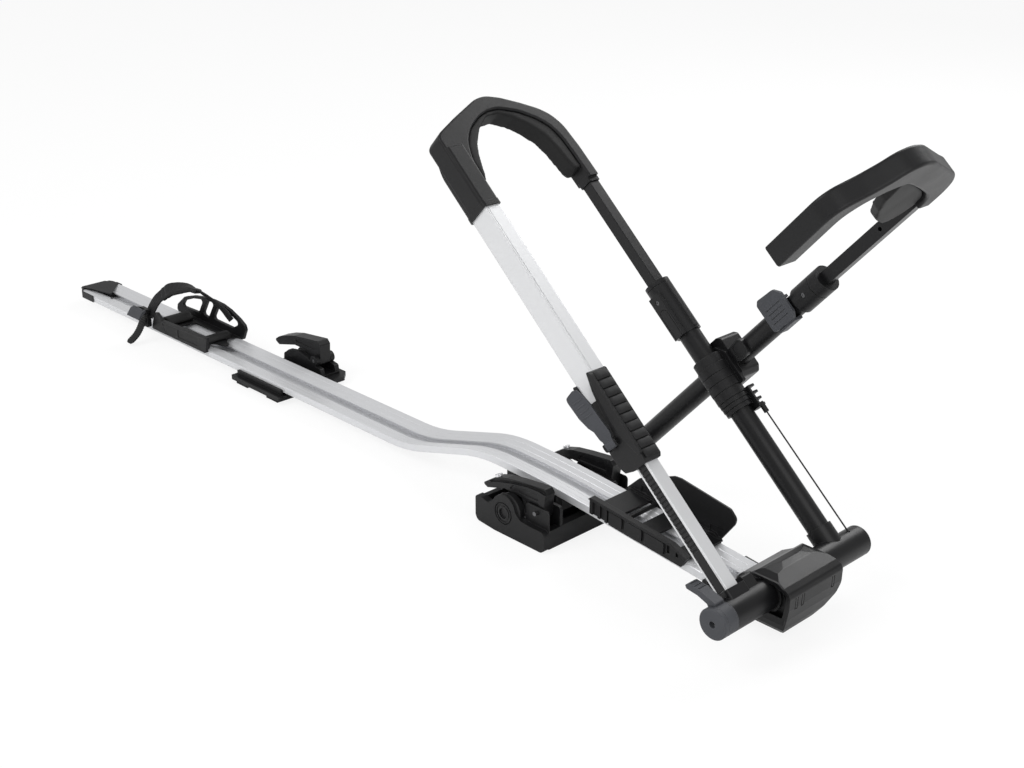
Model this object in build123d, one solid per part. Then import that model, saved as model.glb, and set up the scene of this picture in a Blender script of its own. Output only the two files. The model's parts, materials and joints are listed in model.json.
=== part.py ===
from build123d import *
import math
import os

os.makedirs("parts", exist_ok=True)

# Lengths are millimetres measured from the hub axis at the middle of the tray:
# X runs towards the front, Y to the far side, Z up.
# The exporter moves everything so that the origin lies on the front foot's seat.
hub_x = 383.0
hub_z = 62.0

# Fits shared by all pieces
seat_fit = 0.05
run_fit = 0.08
air = 0.6
corner_share = 0.45

# Tray extrusion: half section, slot and path of its top edge
tray_half = 35.4
tray_side = 10.7
tray_wall = 1.8
slot_half = 8.9
slot_drop = 5.0
slot_lip = 2.2
cavity_half = 13.5
cavity_floor = 12.9
keel_half = 17.0
keel_foot = 15.3
keel_drop = 15.0
groove_spots = [15.5, 25.5]
groove_half = 0.6
groove_deep = 0.5
chamber_inner = 15.4
chamber_outer = 33.6
tray_rear = -1588.0
tray_level = -33.5
tray_bends = [(-653.0, -33.5), (-494.0, 12.5), (-372.0, 9.7)]
tray_bend_radii = [233.0, 242.0, 2000.0]
tray_front = (-48.0, -22.8)
tray_corner_x = 21.0
tray_corner_y = 13.4

# Rear end cap
cap_plate = 4.0
cap_rim = 1.7
cap_over = 0.8
cap_rim_drop = 11.4
cap_near_end = -1530.0
cap_far_end = -1552.0
cap_top_drop = 0.4
cap_wedge = [(-1589.0, -16.0), (-1571.0, -7.0), (-1528.0, -4.0), (-1568.0, 33.0), (-1589.0, 33.0)]
cap_plug_end = -1495.0
cap_screw_x = -1507.0
cap_screw_y = -11.2
cap_screw_radius = 1.7
cap_screw_head = 2.6
cap_screw_long = 6.0
cap_screw_sink = 1.2

# Front foot housing
foot_rear = -448.0
foot_front = -319.0
foot_half = 85.0
foot_wall = 10.0
foot_low = -62.0
foot_seat = -59.0
foot_floor = -50.0
foot_front_top = -32.0
foot_side_top = [(-448.0, -21.5), (-436.0, -22.5), (-423.0, -26.5), (-415.5, -20.0), (-409.0, -10.5),
                 (-400.0, -5.0), (-391.0, -3.6), (-383.0, -6.0), (-376.0, -13.0), (-371.0, -24.0),
                 (-363.0, -30.5), (-346.0, -32.0), (-323.0, -32.0)]
foot_rear_low = [(-448.0, -52.0), (-444.0, -59.0), (-411.0, -62.0)]
foot_front_cut = 4.0
foot_rear_wall = 8.0
foot_front_wall = 11.0
foot_wall_inner = 74.9
foot_saddle_inner = 22.0
foot_saddle_outer = 34.0
foot_saddle_ribs = [(-440.0, -426.0), (-362.0, -348.0)]
foot_rib_thick = 4.0
foot_ear_thick = 5.0
foot_ear_rear = -362.0
foot_ear_top = -5.0
foot_hood_radius = 22.0
foot_hood_center = (-387.0, -24.0)
foot_lip_high = 2.5
boss_center = (-394.5, -31.0)
boss_outer = 16.0
boss_inner = 12.6
boss_groove = 2.0
boss_cap_radius = 11.8
boss_cap_out = 1.0
boss_cap_deep = 6.0
boss_cap_dish = 7.6
boss_cap_dish_deep = 1.4

# Clamp levers of the front foot
lever_inner = 55.5
lever_outer = 73.1
lever_side = [(-446.0, -8.0), (-433.0, 0.5), (-423.0, 6.5), (-404.0, 12.0), (-377.0, 16.0), (-345.0, 19.5),
              (-334.0, 20.5), (-329.0, 14.0), (-334.0, -21.5), (-364.0, -24.0), (-372.0, -3.0),
              (-404.0, -2.0), (-437.0, -12.0)]
lever_shelf = [(-460.0, -4.5), (-431.0, -2.5), (-420.0, 2.0), (-393.0, 9.0), (-362.0, 14.6), (-341.0, 15.4), (-320.0, 12.0),
               (-320.0, 40.0), (-460.0, 40.0)]
lever_shelf_y = 69.0
lever_round = 3.0
lever_pocket = [(-396.0, 1.0), (-388.0, 9.0), (-343.0, 12.0), (-341.0, 2.0)]
lever_low_pocket = [(-368.0, -2.0), (-341.0, 0.0), (-340.0, -17.0), (-361.0, -20.0)]
lever_pocket_deep = 1.4
lever_pivot = (-342.0, -14.0)
lever_pin_radius = 3.0
lever_pin_gap = 0.8
lock_x = -424.0
lock_tilt_deg = 22.0
lock_z = 8.2
lock_radius = 5.2
lock_high = 3.0
lock_sink = 2.2
lock_slot_long = 6.0
lock_slot_wide = 1.2

# Bolts that drop into the slot of a load bar
bolt_radius = 4.0
bolt_spot = 65.0
bolt_head_wide = 19.0
bolt_head_long = 23.0
bolt_head_thick = 2.6
bolt_top = -30.0
bolt_lift = 4.0
bolt_hole = 5.0
bolt_nut_radius = 7.5
bolt_nut_high = 6.0
front_bolt_x = -383.0

# Rubber seats under both feet
pad_thick = 2.9
pad_front = [(-440.0, -412.0), (-354.0, -327.0)]
pad_reach = 71.0

# Rear foot
rear_rear = -1075.0
rear_front = -942.0
rear_near = -48.0
rear_far = 97.0
rear_top = tray_level - keel_drop - run_fit
rear_thick = 7.0
rear_corner = 16.0
rear_slot = (-975.0, 80.0)
rear_slot_long = 16.0
rear_slot_wide = 5.5
rear_rail_inner = tray_half + run_fit
rear_rail_outer = 39.6
rear_rail_top = -40.5
rear_pad_spans = [(-1066.0, -1036.0), (-984.0, -954.0)]
rear_pad_near = -44.0
rear_pad_far = 92.0
rear_pad_thick = 5.5
rear_bolt_ys = [-22.0, 66.0]
rear_house_inner = 49.0
rear_house_outer = 86.0
rear_house = [(-1062.0, rear_top), (-1060.0, -32.0), (-1046.0, -22.0), (-1020.0, -18.0), (-996.0, -22.0),
              (-984.0, -30.0), (-962.0, -34.0), (-960.0, rear_top)]
rear_bay_inner = 56.4
rear_bay_outer = 77.6
rear_lever_inner = 57.0
rear_lever_outer = 77.0
rear_lever_side = [(-1096.0, -20.0), (-1084.0, -12.0), (-1062.0, -4.0), (-1040.0, 1.5), (-1000.0, 6.5),
                   (-976.0, 9.5), (-970.0, 3.0), (-972.0, -31.0), (-998.0, -34.0), (-1008.0, -15.0),
                   (-1040.0, -14.5), (-1084.0, -26.0)]
rear_lever_pivot = (-980.0, -24.0)
rear_lever_pocket = [(-1040.0, -8.0), (-1032.0, -2.0), (-986.0, 2.0), (-984.0, -8.0)]
rear_pin_radius = 3.0
rear_bolt_x = -1022.0
rear_bolt_top = -30.0
rear_floor = rear_top + rear_thick / 2

# Wheel holder on the rear of the tray
holder_wall_in = tray_half + run_fit
holder_wall_out = 41.0
holder_low = -38.6
holder_near_side = [(-1322.0, -37.0), (-1311.0, -5.5), (-1303.0, -4.0), (-1288.0, -14.0), (-1268.0, -13.0),
                    (-1150.0, -8.0), (-1158.0, -37.0)]
holder_near_rim = [(-1286.0, -16.8), (-1268.0, -15.6), (-1152.0, -10.6), (-1150.0, -8.0), (-1268.0, -13.0),
                   (-1288.0, -14.0)]
holder_rim_out = 2.2
holder_seam = [(-1288.5, -16.0), (-1286.5, -16.0), (-1275.0, -37.5), (-1277.0, -37.5)]
holder_mark = [(-1240.0, -17.0), (-1176.0, -14.2), (-1180.0, -30.5), (-1240.0, -31.5)]
holder_recess_deep = 0.8
holder_far_side = [(-1362.0, -34.0), (-1359.0, -21.0), (-1334.0, -1.0), (-1304.0, 8.5), (-1270.0, 14.5),
                   (-1242.0, 16.5), (-1215.0, 15.5), (-1193.0, 11.0), (-1168.0, 2.0), (-1153.0, -6.0),
                   (-1150.0, -14.0), (-1160.0, -34.0)]
holder_windows = [
    [(-1345.0, -21.0), (-1334.0, -8.0), (-1304.0, 3.5), (-1273.0, 9.5), (-1291.0, -19.0)],
    [(-1279.0, -19.0), (-1260.0, 11.0), (-1240.0, 11.5), (-1261.0, -21.0)],
    [(-1247.0, -19.0), (-1228.0, 10.5), (-1196.0, 5.5), (-1166.0, -7.0), (-1188.0, -20.0)],
]
holder_floor_top = -31.0
holder_floor_low = tray_level + run_fit
holder_floor_rear = -1330.0
holder_front_edge = [(-1158.0, -36.5), (-1166.0, -26.0), (-1180.0, -18.0), (-1170.0, -9.0), (-1152.0, -5.0),
                     (-1152.0, 3.0), (-1168.0, 9.0), (-1182.0, 20.0), (-1174.0, 31.0), (-1160.0, 36.5)]
holder_window = (-1284.0, -1192.0)
holder_window_half = 21.0
saddle_spots = [(-1306.0, 19.0, 13.0), (-1186.0, 15.0, 10.0)]
saddle_half = 24.0

# Strap of the wheel holder, in its own upright plane through two points
strap_near = (-1335.0, -46.0)
strap_far = (-1172.0, 42.0)
strap_half = 11.0
strap_thick = 2.6
strap_path = [(10.0, -12.0), (19.0, 5.0), (31.0, 21.0), (52.0, 37.0), (78.0, 44.0), (104.0, 43.5),
              (128.0, 32.0), (152.0, 15.0), (172.0, -4.0)]
sleeve_path = [(46.0, 33.5), (62.0, 41.0), (80.0, 44.2), (104.0, 43.5)]
sleeve_half = 13.0
sleeve_thick = 7.4
sleeve_bore_half = 11.3
sleeve_bore_thick = 3.2
strap_rung_count = 4
strap_rung_high = 0.9
strap_rung_long = 3.0
tail_path = [(-49.3, -10.0), (-50.0, -20.0), (-57.0, -33.0), (-68.0, -46.0), (-84.0, -56.5)]
tail_x = (-1343.0, -1325.0)
anchor_x = (-1190.0, -1162.0)
anchor_z = (-22.0, -12.0)
anchor_out = 46.2
buckle_x = (-1346.0, -1322.0)
buckle_y = (-49.2, -holder_wall_out - seat_fit)
buckle_z = (-34.0, -2.0)
buckle_ear = 4.0
buckle_ear_y = (-55.6, -47.0)
buckle_ear_z = (-9.0, -1.0)
buckle_lever_plate = [(-2.8, 4.6), (0.6, 4.2), (-2.0, 0.0), (-7.0, -3.0), (-14.0, -10.5), (-16.4, -9.0), (-8.0, 2.4)]
buckle_knuckle_radius = 3.2
buckle_lever_pivot = (-52.6, -5.0)
buckle_lever_x = (-1355.0, -1318.0)
buckle_pin_radius = 1.5
buckle_room = 5.6

# Front wheel cradle beside and above the tray
cradle_near = [(-282.0, 17.0), (-278.0, 21.0), (-142.0, 7.0), (-119.0, -4.0), (-129.0, -20.0), (-179.0, -15.0),
               (-218.0, -11.5), (-282.0, -4.0)]
cradle_in = tray_half + seat_fit
cradle_out = 40.5
cradle_lip_out = 44.0
cradle_lip = [(-282.0, 17.5), (-278.0, 21.0), (-142.0, 7.0), (-119.0, -4.0), (-122.0, -6.5), (-143.0, 3.6),
              (-279.0, 17.2)]
cradle_pockets = [(-277.0, -268.0), (-264.0, -256.0), (-252.0, -249.0), (-152.0, -148.0), (-138.0, -134.0)]
cradle_pocket_low = -9.0
cradle_pocket_deep = 2.6
cradle_panels = [(-246.0, -225.0), (-220.0, -192.0), (-187.0, -156.0)]
cradle_panel_out = 43.0
cradle_panel_drop = (5.4, 22.0)
cradle_panel_round = 2.0
wing_side = [(-318.0, -26.0), (-271.0, 22.0), (-217.0, 43.0), (-206.0, 43.5), (-124.0, 31.5), (-113.0, 22.0),
             (-114.0, 14.0), (-140.0, -25.0), (-200.0, -20.0), (-280.0, -12.0)]
wing_thick = 3.2
wing_root = tray_half + seat_fit
wing_round = 9.0
wing_lean_deg = -9.0
wing_recesses = [(-150.0, 3.0, -128.0, -9.0), (-266.0, 13.0, -256.0, 5.0)]
wing_recess_deep = 1.6
wing_foot = 5.0
wing_base = [(-300.0, -12.0), (-284.0, 6.0), (-140.0, -6.0), (-128.0, -14.0), (-140.0, -24.0), (-200.0, -19.5), (-282.0, -13.0)]
cradle_floor_thick = 3.0
cradle_bars = [(-282.0, -246.0), (-216.0, -188.0), (-150.0, -128.0)]
cradle_bar_x = -232.0
cradle_bar_wide = 5.0
cradle_bar_high = 6.0

# Hub tube, its ends and legs
hub_radius = 19.4
hub_bore = 15.8
tube_near = -118.0
tube_far = 138.0
leg_y = 92.6
knob_near = -141.7
knob_core = 16.0
knob_groove = (-135.4, -119.6)
knob_hole = 4.2
knob_hole_deep = 9.0
knob_screw = 3.4
knob_chamfer = 1.6
hub_end = 141.7
hub_end_lip = 1.2
plug_deep = 9.0
screw_socket = 2.4
knob_ring = (-135.0, -120.0)
knob_paddle = [(-3.0, 17.5), (-2.0, 22.7), (-12.0, 26.0), (-28.0, 31.0), (-42.0, 32.5), (-46.5, 29.0),
               (-44.0, 25.0), (-28.0, 23.0), (-14.0, 18.0), (-11.0, 13.5)]
knob_rib_spots = [-22.0, -28.0, -34.0, -40.0]
knob_rib_wide = 1.2
knob_rib_deep = 1.0
knob_rib_from = 27.5
knob_rib_to = 35.0

# Hub bracket and hub cover
cheek_in = tray_half + seat_fit
cheek_out = 41.5
cheek_boss = 45.5
cheek_boss_radius = 22.6
cheek_side = [(-96.0, -30.0), (-94.0, -21.0), (-58.0, -25.0), (-47.0, -14.0), (-40.0, -2.0), (-22.0, 15.0), (0.0, 22.0),
              (20.0, 15.0), (28.0, -6.0), (22.0, -34.0), (6.0, -42.0), (-40.0, -42.4), (-92.0, -38.0)]
bracket_floor_xs = [-92.0, -50.0]
bracket_floor_front = (6.0, -39.8)
bracket_floor_thick = 2.4
bracket_wall = [(-44.0, -42.0), (-44.0, -14.0), (-38.0, -11.0), (-35.0, -14.0), (-35.0, -42.0)]
bracket_screw_xs = [-84.0, -62.0]
bracket_screw_drop = 9.6
bracket_screw_radius = 2.5
bracket_screw_head = 4.4
bracket_screw_high = 2.6
bracket_screw_deep = 6.0
cover_side = [(-26.0, 15.0), (-24.0, 19.6), (-14.0, 26.4), (-3.0, 29.4), (8.0, 28.6), (29.0, 21.0), (36.6, 16.8), (39.0, 11.0),
              (38.6, -4.0), (36.2, -18.0), (31.4, -33.0), (25.6, -43.0), (19.6, -46.2), (8.0, -46.4), (-8.0, -45.6), (-26.0, -45.0)]
cover_front = [(-51.5, -18.0), (-51.5, 19.0), (-48.0, 24.5), (-38.0, 27.8), (-10.0, 29.6), (20.0, 29.6), (38.0, 27.8), (48.0, 24.5),
               (51.5, 19.0), (51.5, -9.0), (46.0, -21.0), (26.0, -37.0), (4.0, -46.8), (-36.0, -46.8), (-47.0, -36.0)]
cover_thick = 2.2
cover_gap = 0.6
cover_round = 5.0
cover_back = -20.0
cover_web_in = cheek_boss + seat_fit
cover_web_out = 49.0
cover_web_rim = 5.5
cover_web_low = (-8.0, -31.0)
skirt_side = [(-16.0, 22.4), (-34.0, 12.0), (-40.0, 4.0), (-41.5, -9.0), (-43.6, -9.0), (-42.4, 4.6), (-35.4, 13.6), (-16.0, 24.6)]
skirt_y = (-47.0, 33.0)
skirt_plan = [(-10.0, -47.0), (-44.0, -47.0), (-44.0, 24.0), (-36.0, 33.0), (-10.0, 33.0)]
skirt_round = 3.0
cover_slot_spots = [-38.0, -26.0, 33.0]
cover_slot_wide = 5.4
cover_slot_z = (-6.0, 9.6)
cover_slot_line = 1.1
cover_slot_deep = 1.0

# Hoop legs, measured along the leg from the hub axis, across in Y, and under the leg in Z
hoop_rest_deg = 138.0
saddle_reach = 36.0
saddle_low_reach = 25.0
saddle_half_leg = 17.0
saddle_wall_under = 15.5
saddle_cheek_y = (-76.0, -60.0)
saddle_cheek = [(0.0, -15.0), (31.0, -13.0), (31.0, 4.0), (24.0, 13.0), (0.0, 15.0)]
inner_half = 10.0
inner_wall = 2.0
inner_from = 18.0
inner_to = 300.0
rack_half = 7.0
rack_deep = 2.6
rack_teeth_from = 79.0
rack_pitch = 5.95
rack_count = 36
rack_tooth_deep = 1.5
rack_tooth_share = 0.55
rack_start = 26.0
outer_half_y = 11.7
outer_over = 15.5
outer_under = 21.8
outer_wall = 1.6
outer_round = 6.0
outer_small_round = 1.6
outer_groove = 3.6
outer_from = 228.0
outer_to = 600.0

# Ratchet handle on the left leg
handle_in = -80.6
handle_out = -109.5
handle_side = [(195.5, -8.0), (195.0, 14.5), (199.0, 17.8), (318.5, 17.8), (321.0, 15.0), (321.0, 12.8), (300.5, 5.0),
               (289.0, 2.6), (291.0, -16.0), (317.0, -18.0), (322.0, -22.5), (314.0, -25.5), (290.0, -24.8),
               (232.0, -26.0), (211.0, -26.0), (200.0, -21.5)]
handle_round = 2.5
handle_deck = 17.8
handle_bay = [(243.0, -40.0), (243.0, -3.9), (253.0, -2.8), (289.0, 2.6), (330.0, 2.6), (330.0, -40.0)]
handle_bay_out = -106.0
handle_stop = 322.0
rim_side = [(206.0, 14.0), (206.0, 19.4), (316.0, 19.4), (319.0, 16.5), (316.0, 13.0), (256.0, 5.6), (236.0, 6.0), (214.0, 12.0)]
rim_out = 1.4
rim_thick = 3.2
grip_from = 199.0
grip_to = 317.5
grip_count = 10
grip_gap = 1.0
grip_high = 2.5
grip_near = -106.0
grip_far = -81.4
grip_round = 1.2
grip_lift = 0.6
pawl_t = (208.0, 220.0)
pawl_half = 5.6
pawl_out = -106.0
pawl_travel = 1.5
release_tilt_deg = 25.0
release_lift_deg = 6.0
release_center = (-114.3, -11.2)
release_pivot_t = 236.0
release_pin_radius = 1.6
release_leaf = [(243.0, -7.4), (251.0, -8.6), (269.4, -7.9), (289.9, -7.8), (304.3, -5.9), (311.3, -3.3), (313.7, 1.2),
                (310.4, 13.2), (305.4, 14.5), (281.7, 14.1), (266.7, 11.3), (259.4, 8.1), (248.4, 7.7), (243.0, 6.4)]
release_half = 1.9
release_round = 4.0
release_rib_ts = [279.0, 286.0, 293.0, 300.0]
release_rib_z = (-3.4, 10.0)
release_rib_wide = 1.2
release_rib_high = 0.8
release_root = 6.3
release_root_half = 3.6
release_root_t = (231.0, 241.0)
release_neck_t = (239.0, 247.0)
release_ear = 2.6
release_ear_gap = 0.3
release_ear_deep = 9.0
release_room = 4.6

# Hoop head joining the two legs, as positions along the leg and across
hoop_outline_out = [(561.0, -106.5), (668.0, -107.5), (675.0, -100.0), (691.0, -66.0), (712.0, -16.0), (714.0, 2.0),
                    (707.0, 24.0), (694.0, 50.0), (680.0, 74.0), (667.0, 88.0), (648.0, 97.0), (612.0, 100.5),
                    (567.0, 101.5)]
hoop_outline_in = [(567.0, 84.0), (600.0, 83.0), (630.0, 81.0), (652.0, 74.0), (666.0, 61.0), (681.0, 40.0),
                   (692.0, 10.0), (691.0, -8.0), (686.0, -26.0), (672.0, -50.0), (655.0, -66.0), (630.0, -76.0),
                   (561.0, -78.0)]
hoop_half = 15.0
hoop_round = 60.0
hoop_wall = 2.0
hoop_left_to = 655.0
hoop_edge = 3.0
hoop_ends = (561.0, 567.0)
hoop_tail = 40.0
hoop_ring_t = (561.0, 568.0)
hoop_ring_out = 0.7
hoop_left_end = [(550.0, -30.0), (610.0, -30.0), (655.0, -18.0), (655.0, 10.0), (612.0, 26.0), (550.0, 26.0)]
hoop_collar = (561.0, 570.0)
hoop_collar_half = 10.4
hoop_pad_in = [(583.0, 74.0), (590.0, 69.8), (605.8, 67.4), (624.3, 64.2), (643.3, 58.0), (661.0, 44.6), (676.0, 28.0),
               (686.0, 8.0), (685.0, -12.0), (670.0, -35.0), (649.0, -53.0), (630.6, -62.0), (609.0, -69.0), (597.0, -74.0)]
hoop_pad_back = [(597.0, -78.5), (612.0, -78.5), (640.0, -84.0), (664.0, -70.0), (690.0, -36.0), (700.0, -8.0), (701.0, 10.0),
                 (690.0, 42.0), (672.0, 70.0), (655.0, 84.0), (630.0, 88.0), (606.0, 84.0), (583.0, 83.8)]
hoop_pad_half = 12.5

# Square bars and the coupler of the right leg
bar_half = 8.2
bar_wall = 1.8
bar_from = 240.0
bar_to = 602.0
tube_radius = 14.3
tube_wall = 2.0
right_from = 22.0
right_to = 392.0
coupler_from = 325.0
coupler_to = 402.0
coupler_radius = 16.9
coupler_ring = 3.0
coupler_ring_cut = 0.9
coupler_ridge = 1.6
coupler_ridge_half = 4.0
coupler_plate_t = (325.0, 387.0)
coupler_plate_half = 11.0
coupler_plate_out = 2.4
coupler_plate_deep = 6.0
coupler_screw_t = 377.0
coupler_screw_radius = 3.0
coupler_screw_head = 2.4
coupler_tongue = (320.0, 366.0)
coupler_tongue_half = 7.0
coupler_line = 0.9

# Collar on the right leg
collar_from = 208.0
collar_to = 286.0
collar_rings = [(208.0, 18.2), (214.0, 19.0), (220.0, 19.6), (226.0, 20.2), (238.0, 20.6), (250.0, 20.6),
                (262.0, 20.6), (274.0, 19.6), (286.0, 18.6)]
collar_groove = 1.1
collar_fins = [199.0, 208.0, 217.0, 226.0]
collar_fin_thick = 3.0
collar_fin_root = 104.0
collar_fin_ends = [116.5, 117.0, 117.5, 118.0]
collar_fin_over = (5.0, 22.0)
collar_flat = 104.4
collar_flange = [(236.0, -25.0), (236.0, 24.0), (280.0, 24.0), (292.0, 14.0), (296.0, -4.0), (296.0, -25.0)]
flange_y = (102.0, 107.1)
flange_split = 6.5
ferrule_from = 189.0
ferrule_to = 202.0
ferrule_radius = 3.4
ferrule_wire = 1.15
cable_radius = 1.0
cable_top = (190.0, 110.0, 20.0)
cable_low = (11.0, 120.0, 13.0)
cable_hole = 1.9
cable_inside = 3.4

# Second arm, measured along the arm from its pivot, across in Y and up the leg in Z
arm_rest_deg = 48.0
pivot_t = 268.0
arm_y = 121.6
arm_radius = 14.0
arm_wall = 2.0
strut_end = -215.0
arm_tube_to = 190.0
strut_cap = 3.0
knuckle = [(-22.0, -27.0), (-24.0, 28.0), (-18.0, 33.0), (20.0, 33.0), (26.0, 28.0), (26.0, -20.0), (20.0, -27.0)]
knuckle_y = (107.2, 141.0)
knuckle_cut = 5.0
pivot_bolt = 4.0
pivot_bolt_in = 101.2
pivot_head_radius = 6.0
pivot_head = 1.8
dboss = [(31.0, -10.0), (31.0, 12.0), (50.0, 13.5), (54.0, 9.5), (55.0, -2.0), (50.0, -10.0)]
dboss_y = (103.8, 109.0)
dboss_recess = 1.5
dboss_rim = 2.6
button_side = [(107.0, -13.0), (107.0, 26.0), (112.0, 31.0), (140.0, 29.0), (148.5, 20.0), (148.5, -8.0), (143.0, -15.0)]
button_y = (100.6, 104.6)
button_skirt = 118.0
button_skirt_half = 17.4
button_skirt_a = (112.0, 142.0)
button_round = 4.0
button_rib_spots = [-5.0, 1.0, 7.0, 13.0]
button_rib_wide = 1.4
button_rib_deep = 0.9
button_rib_a = (114.0, 141.0)
sleeve_from = 152.0
sleeve_to = 201.0
sleeve_radius = 17.2
sleeve_step = 184.0
sleeve_screw_a = 170.0
arm_bar_from = 108.0
arm_bar_to = 396.0
arm_hole_a = 303.0
arm_hole_radius = 2.6

# Head of the second arm, as positions along the arm and across
arm_head_out = [(335.0, -116.5), (429.0, -117.5), (446.0, -76.0), (459.0, -54.0), (472.0, -40.0), (478.0, -17.0),
                (472.0, 8.0), (456.0, 40.0), (436.0, 80.0), (424.0, 106.0), (408.0, 123.0), (386.0, 132.0),
                (360.0, 133.0)]
arm_head_in = [(360.0, 110.0), (378.0, 104.0), (392.0, 88.0), (412.0, 52.0), (428.0, 20.0), (440.0, -6.0),
               (440.0, -24.0), (436.0, -46.0), (426.0, -70.0), (410.0, -86.0), (335.0, -84.5)]
arm_head_half = 12.5
arm_head_edge = 3.5
arm_head_round = 60.0
arm_head_ends = (335.0, 360.0)
arm_head_tail = 40.0
arm_pad = [(360.0, 111.0), (344.0, 100.0), (336.0, 84.0), (338.0, 68.0), (352.0, 44.0), (376.0, 22.0), (398.0, 8.0),
           (424.0, 4.0), (438.0, -4.0), (427.0, 20.0), (411.0, 52.0), (391.0, 88.0), (377.0, 104.0)]
arm_pad_half = 6.5


# Shorthand for placing flat outlines in space
def spot(pair, axis, at):
    """Point of a flat outline on the plane across the given axis."""
    if axis == "X":
        return Vector(at, pair[0], pair[1])
    if axis == "Y":
        return Vector(pair[0], at, pair[1])
    return Vector(pair[0], pair[1], at)


def outline(points, radius=0):
    """Closed face through points, each corner rounded as far as its sides allow."""
    count = len(points)
    stops = []
    for k in range(count):
        here = points[k]
        back = points[k - 1] - here
        ahead = points[(k + 1) % count] - here
        half = math.radians(back.get_angle(ahead)) / 2
        reach = min(radius / math.tan(half), corner_share * min(back.length, ahead.length))
        bent = reach > seat_fit
        start = here + back.normalized() * reach if bent else here
        end = here + ahead.normalized() * reach if bent else here
        middle = here
        if bent:
            turn = reach * math.tan(half)
            aim = (back.normalized() + ahead.normalized()).normalized()
            middle = here + aim * (turn / math.sin(half) - turn)
        stops.append((start, middle, end, bent))
    edges = []
    for k in range(count):
        start, middle, end, bent = stops[k]
        if bent:
            edges.append(Edge.make_three_point_arc(start, middle, end))
        following = stops[(k + 1) % count][0]
        if (following - end).length > seat_fit / 10:
            edges.append(Edge.make_line(end, following))
    return Face(Wire(edges))


def prism(points, axis, low, high, radius=0):
    """Solid of one flat outline between two positions along an axis."""
    face = outline([spot(p, axis, low) for p in points], radius)
    aim = {"X": (1, 0, 0), "Y": (0, 1, 0), "Z": (0, 0, 1)}[axis]
    solid = extrude(face, amount=high - low, dir=aim)
    return solid


def block(xs, ys, zs, radius=0, axis="Y"):
    """Box between three pairs of positions, rounded along one axis."""
    ranges = {"X": (ys, zs, xs), "Y": (xs, zs, ys), "Z": (xs, ys, zs)}[axis]
    first, second, third = ranges
    corners = [(first[0], second[0]), (first[1], second[0]), (first[1], second[1]), (first[0], second[1])]
    return prism(corners, axis, third[0], third[1], radius)


def rod(radius, start, end):
    """Round bar between two points."""
    start = Vector(*start)
    aim = Vector(*end) - start
    circle = Plane(origin=start, z_dir=aim) * Circle(radius)
    return extrude(circle, amount=aim.length, dir=aim)


def turned_y(radius, low, high, x=0, z=0):
    """Round bar along Y."""
    return rod(radius, (x, low, z), (x, high, z))


def spun(profile, y):
    """Solid turned about a leg's own length, from pairs of position and radius."""
    points = [Vector(t, 0, r) for t, r in profile]
    solid = revolve(outline(points), axis=Axis.X, revolution_arc=360)
    return Location((0, y, 0)) * solid


def ribbon(path, thick):
    """Closed outline of a path of pairs given an even thickness to its right."""
    inner = []
    count = len(path)
    for k in range(count):
        here = Vector(path[k][0], path[k][1], 0)
        back = Vector(path[max(k - 1, 0)][0], path[max(k - 1, 0)][1], 0)
        ahead = Vector(path[min(k + 1, count - 1)][0], path[min(k + 1, count - 1)][1], 0)
        first = (here - back).normalized() if k > 0 else (ahead - here).normalized()
        second = (ahead - here).normalized() if k < count - 1 else first
        mean = (first + second).normalized()
        side = Vector(mean.Y, -mean.X, 0)
        grow = 1 / max(mean.dot(first), corner_share)
        inner.append((here.X + side.X * thick * grow, here.Y + side.Y * thick * grow))
    return list(path) + inner[::-1]


def mirrored(part):
    """The same piece on the other side of the tray."""
    return mirror(part, about=Plane.XZ)


def joined(pieces):
    """One compound of separate solids."""
    solids = []
    for piece in pieces:
        solids.extend(piece.solids())
    return Compound(children=solids)


# Frames of the leg and of the arm at rest
leg_frame = Location((0, 0, 0), (0, -hoop_rest_deg, 0))
leg_aim = (math.cos(math.radians(hoop_rest_deg)), math.sin(math.radians(hoop_rest_deg)))
arm_origin = (pivot_t * leg_aim[0], 0, pivot_t * leg_aim[1])
arm_frame = Location(arm_origin, (0, -arm_rest_deg, 0))


def cut_grooves(side):
    """Outline stretch of the tray's top with its line grooves, from the slot outwards."""
    rise = slot_drop / (tray_half - slot_half)
    points = [(slot_half, -slot_drop)]
    for y in groove_spots:
        z = -slot_drop + rise * (y - slot_half)
        points.append((y - groove_half, z - rise * groove_half))
        points.append((y, z - groove_deep))
        points.append((y + groove_half, z + rise * groove_half))
    points.append((tray_half - groove_half, 0))
    points.append((tray_half, -groove_half))
    return [(side * y, z) for y, z in points]


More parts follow.
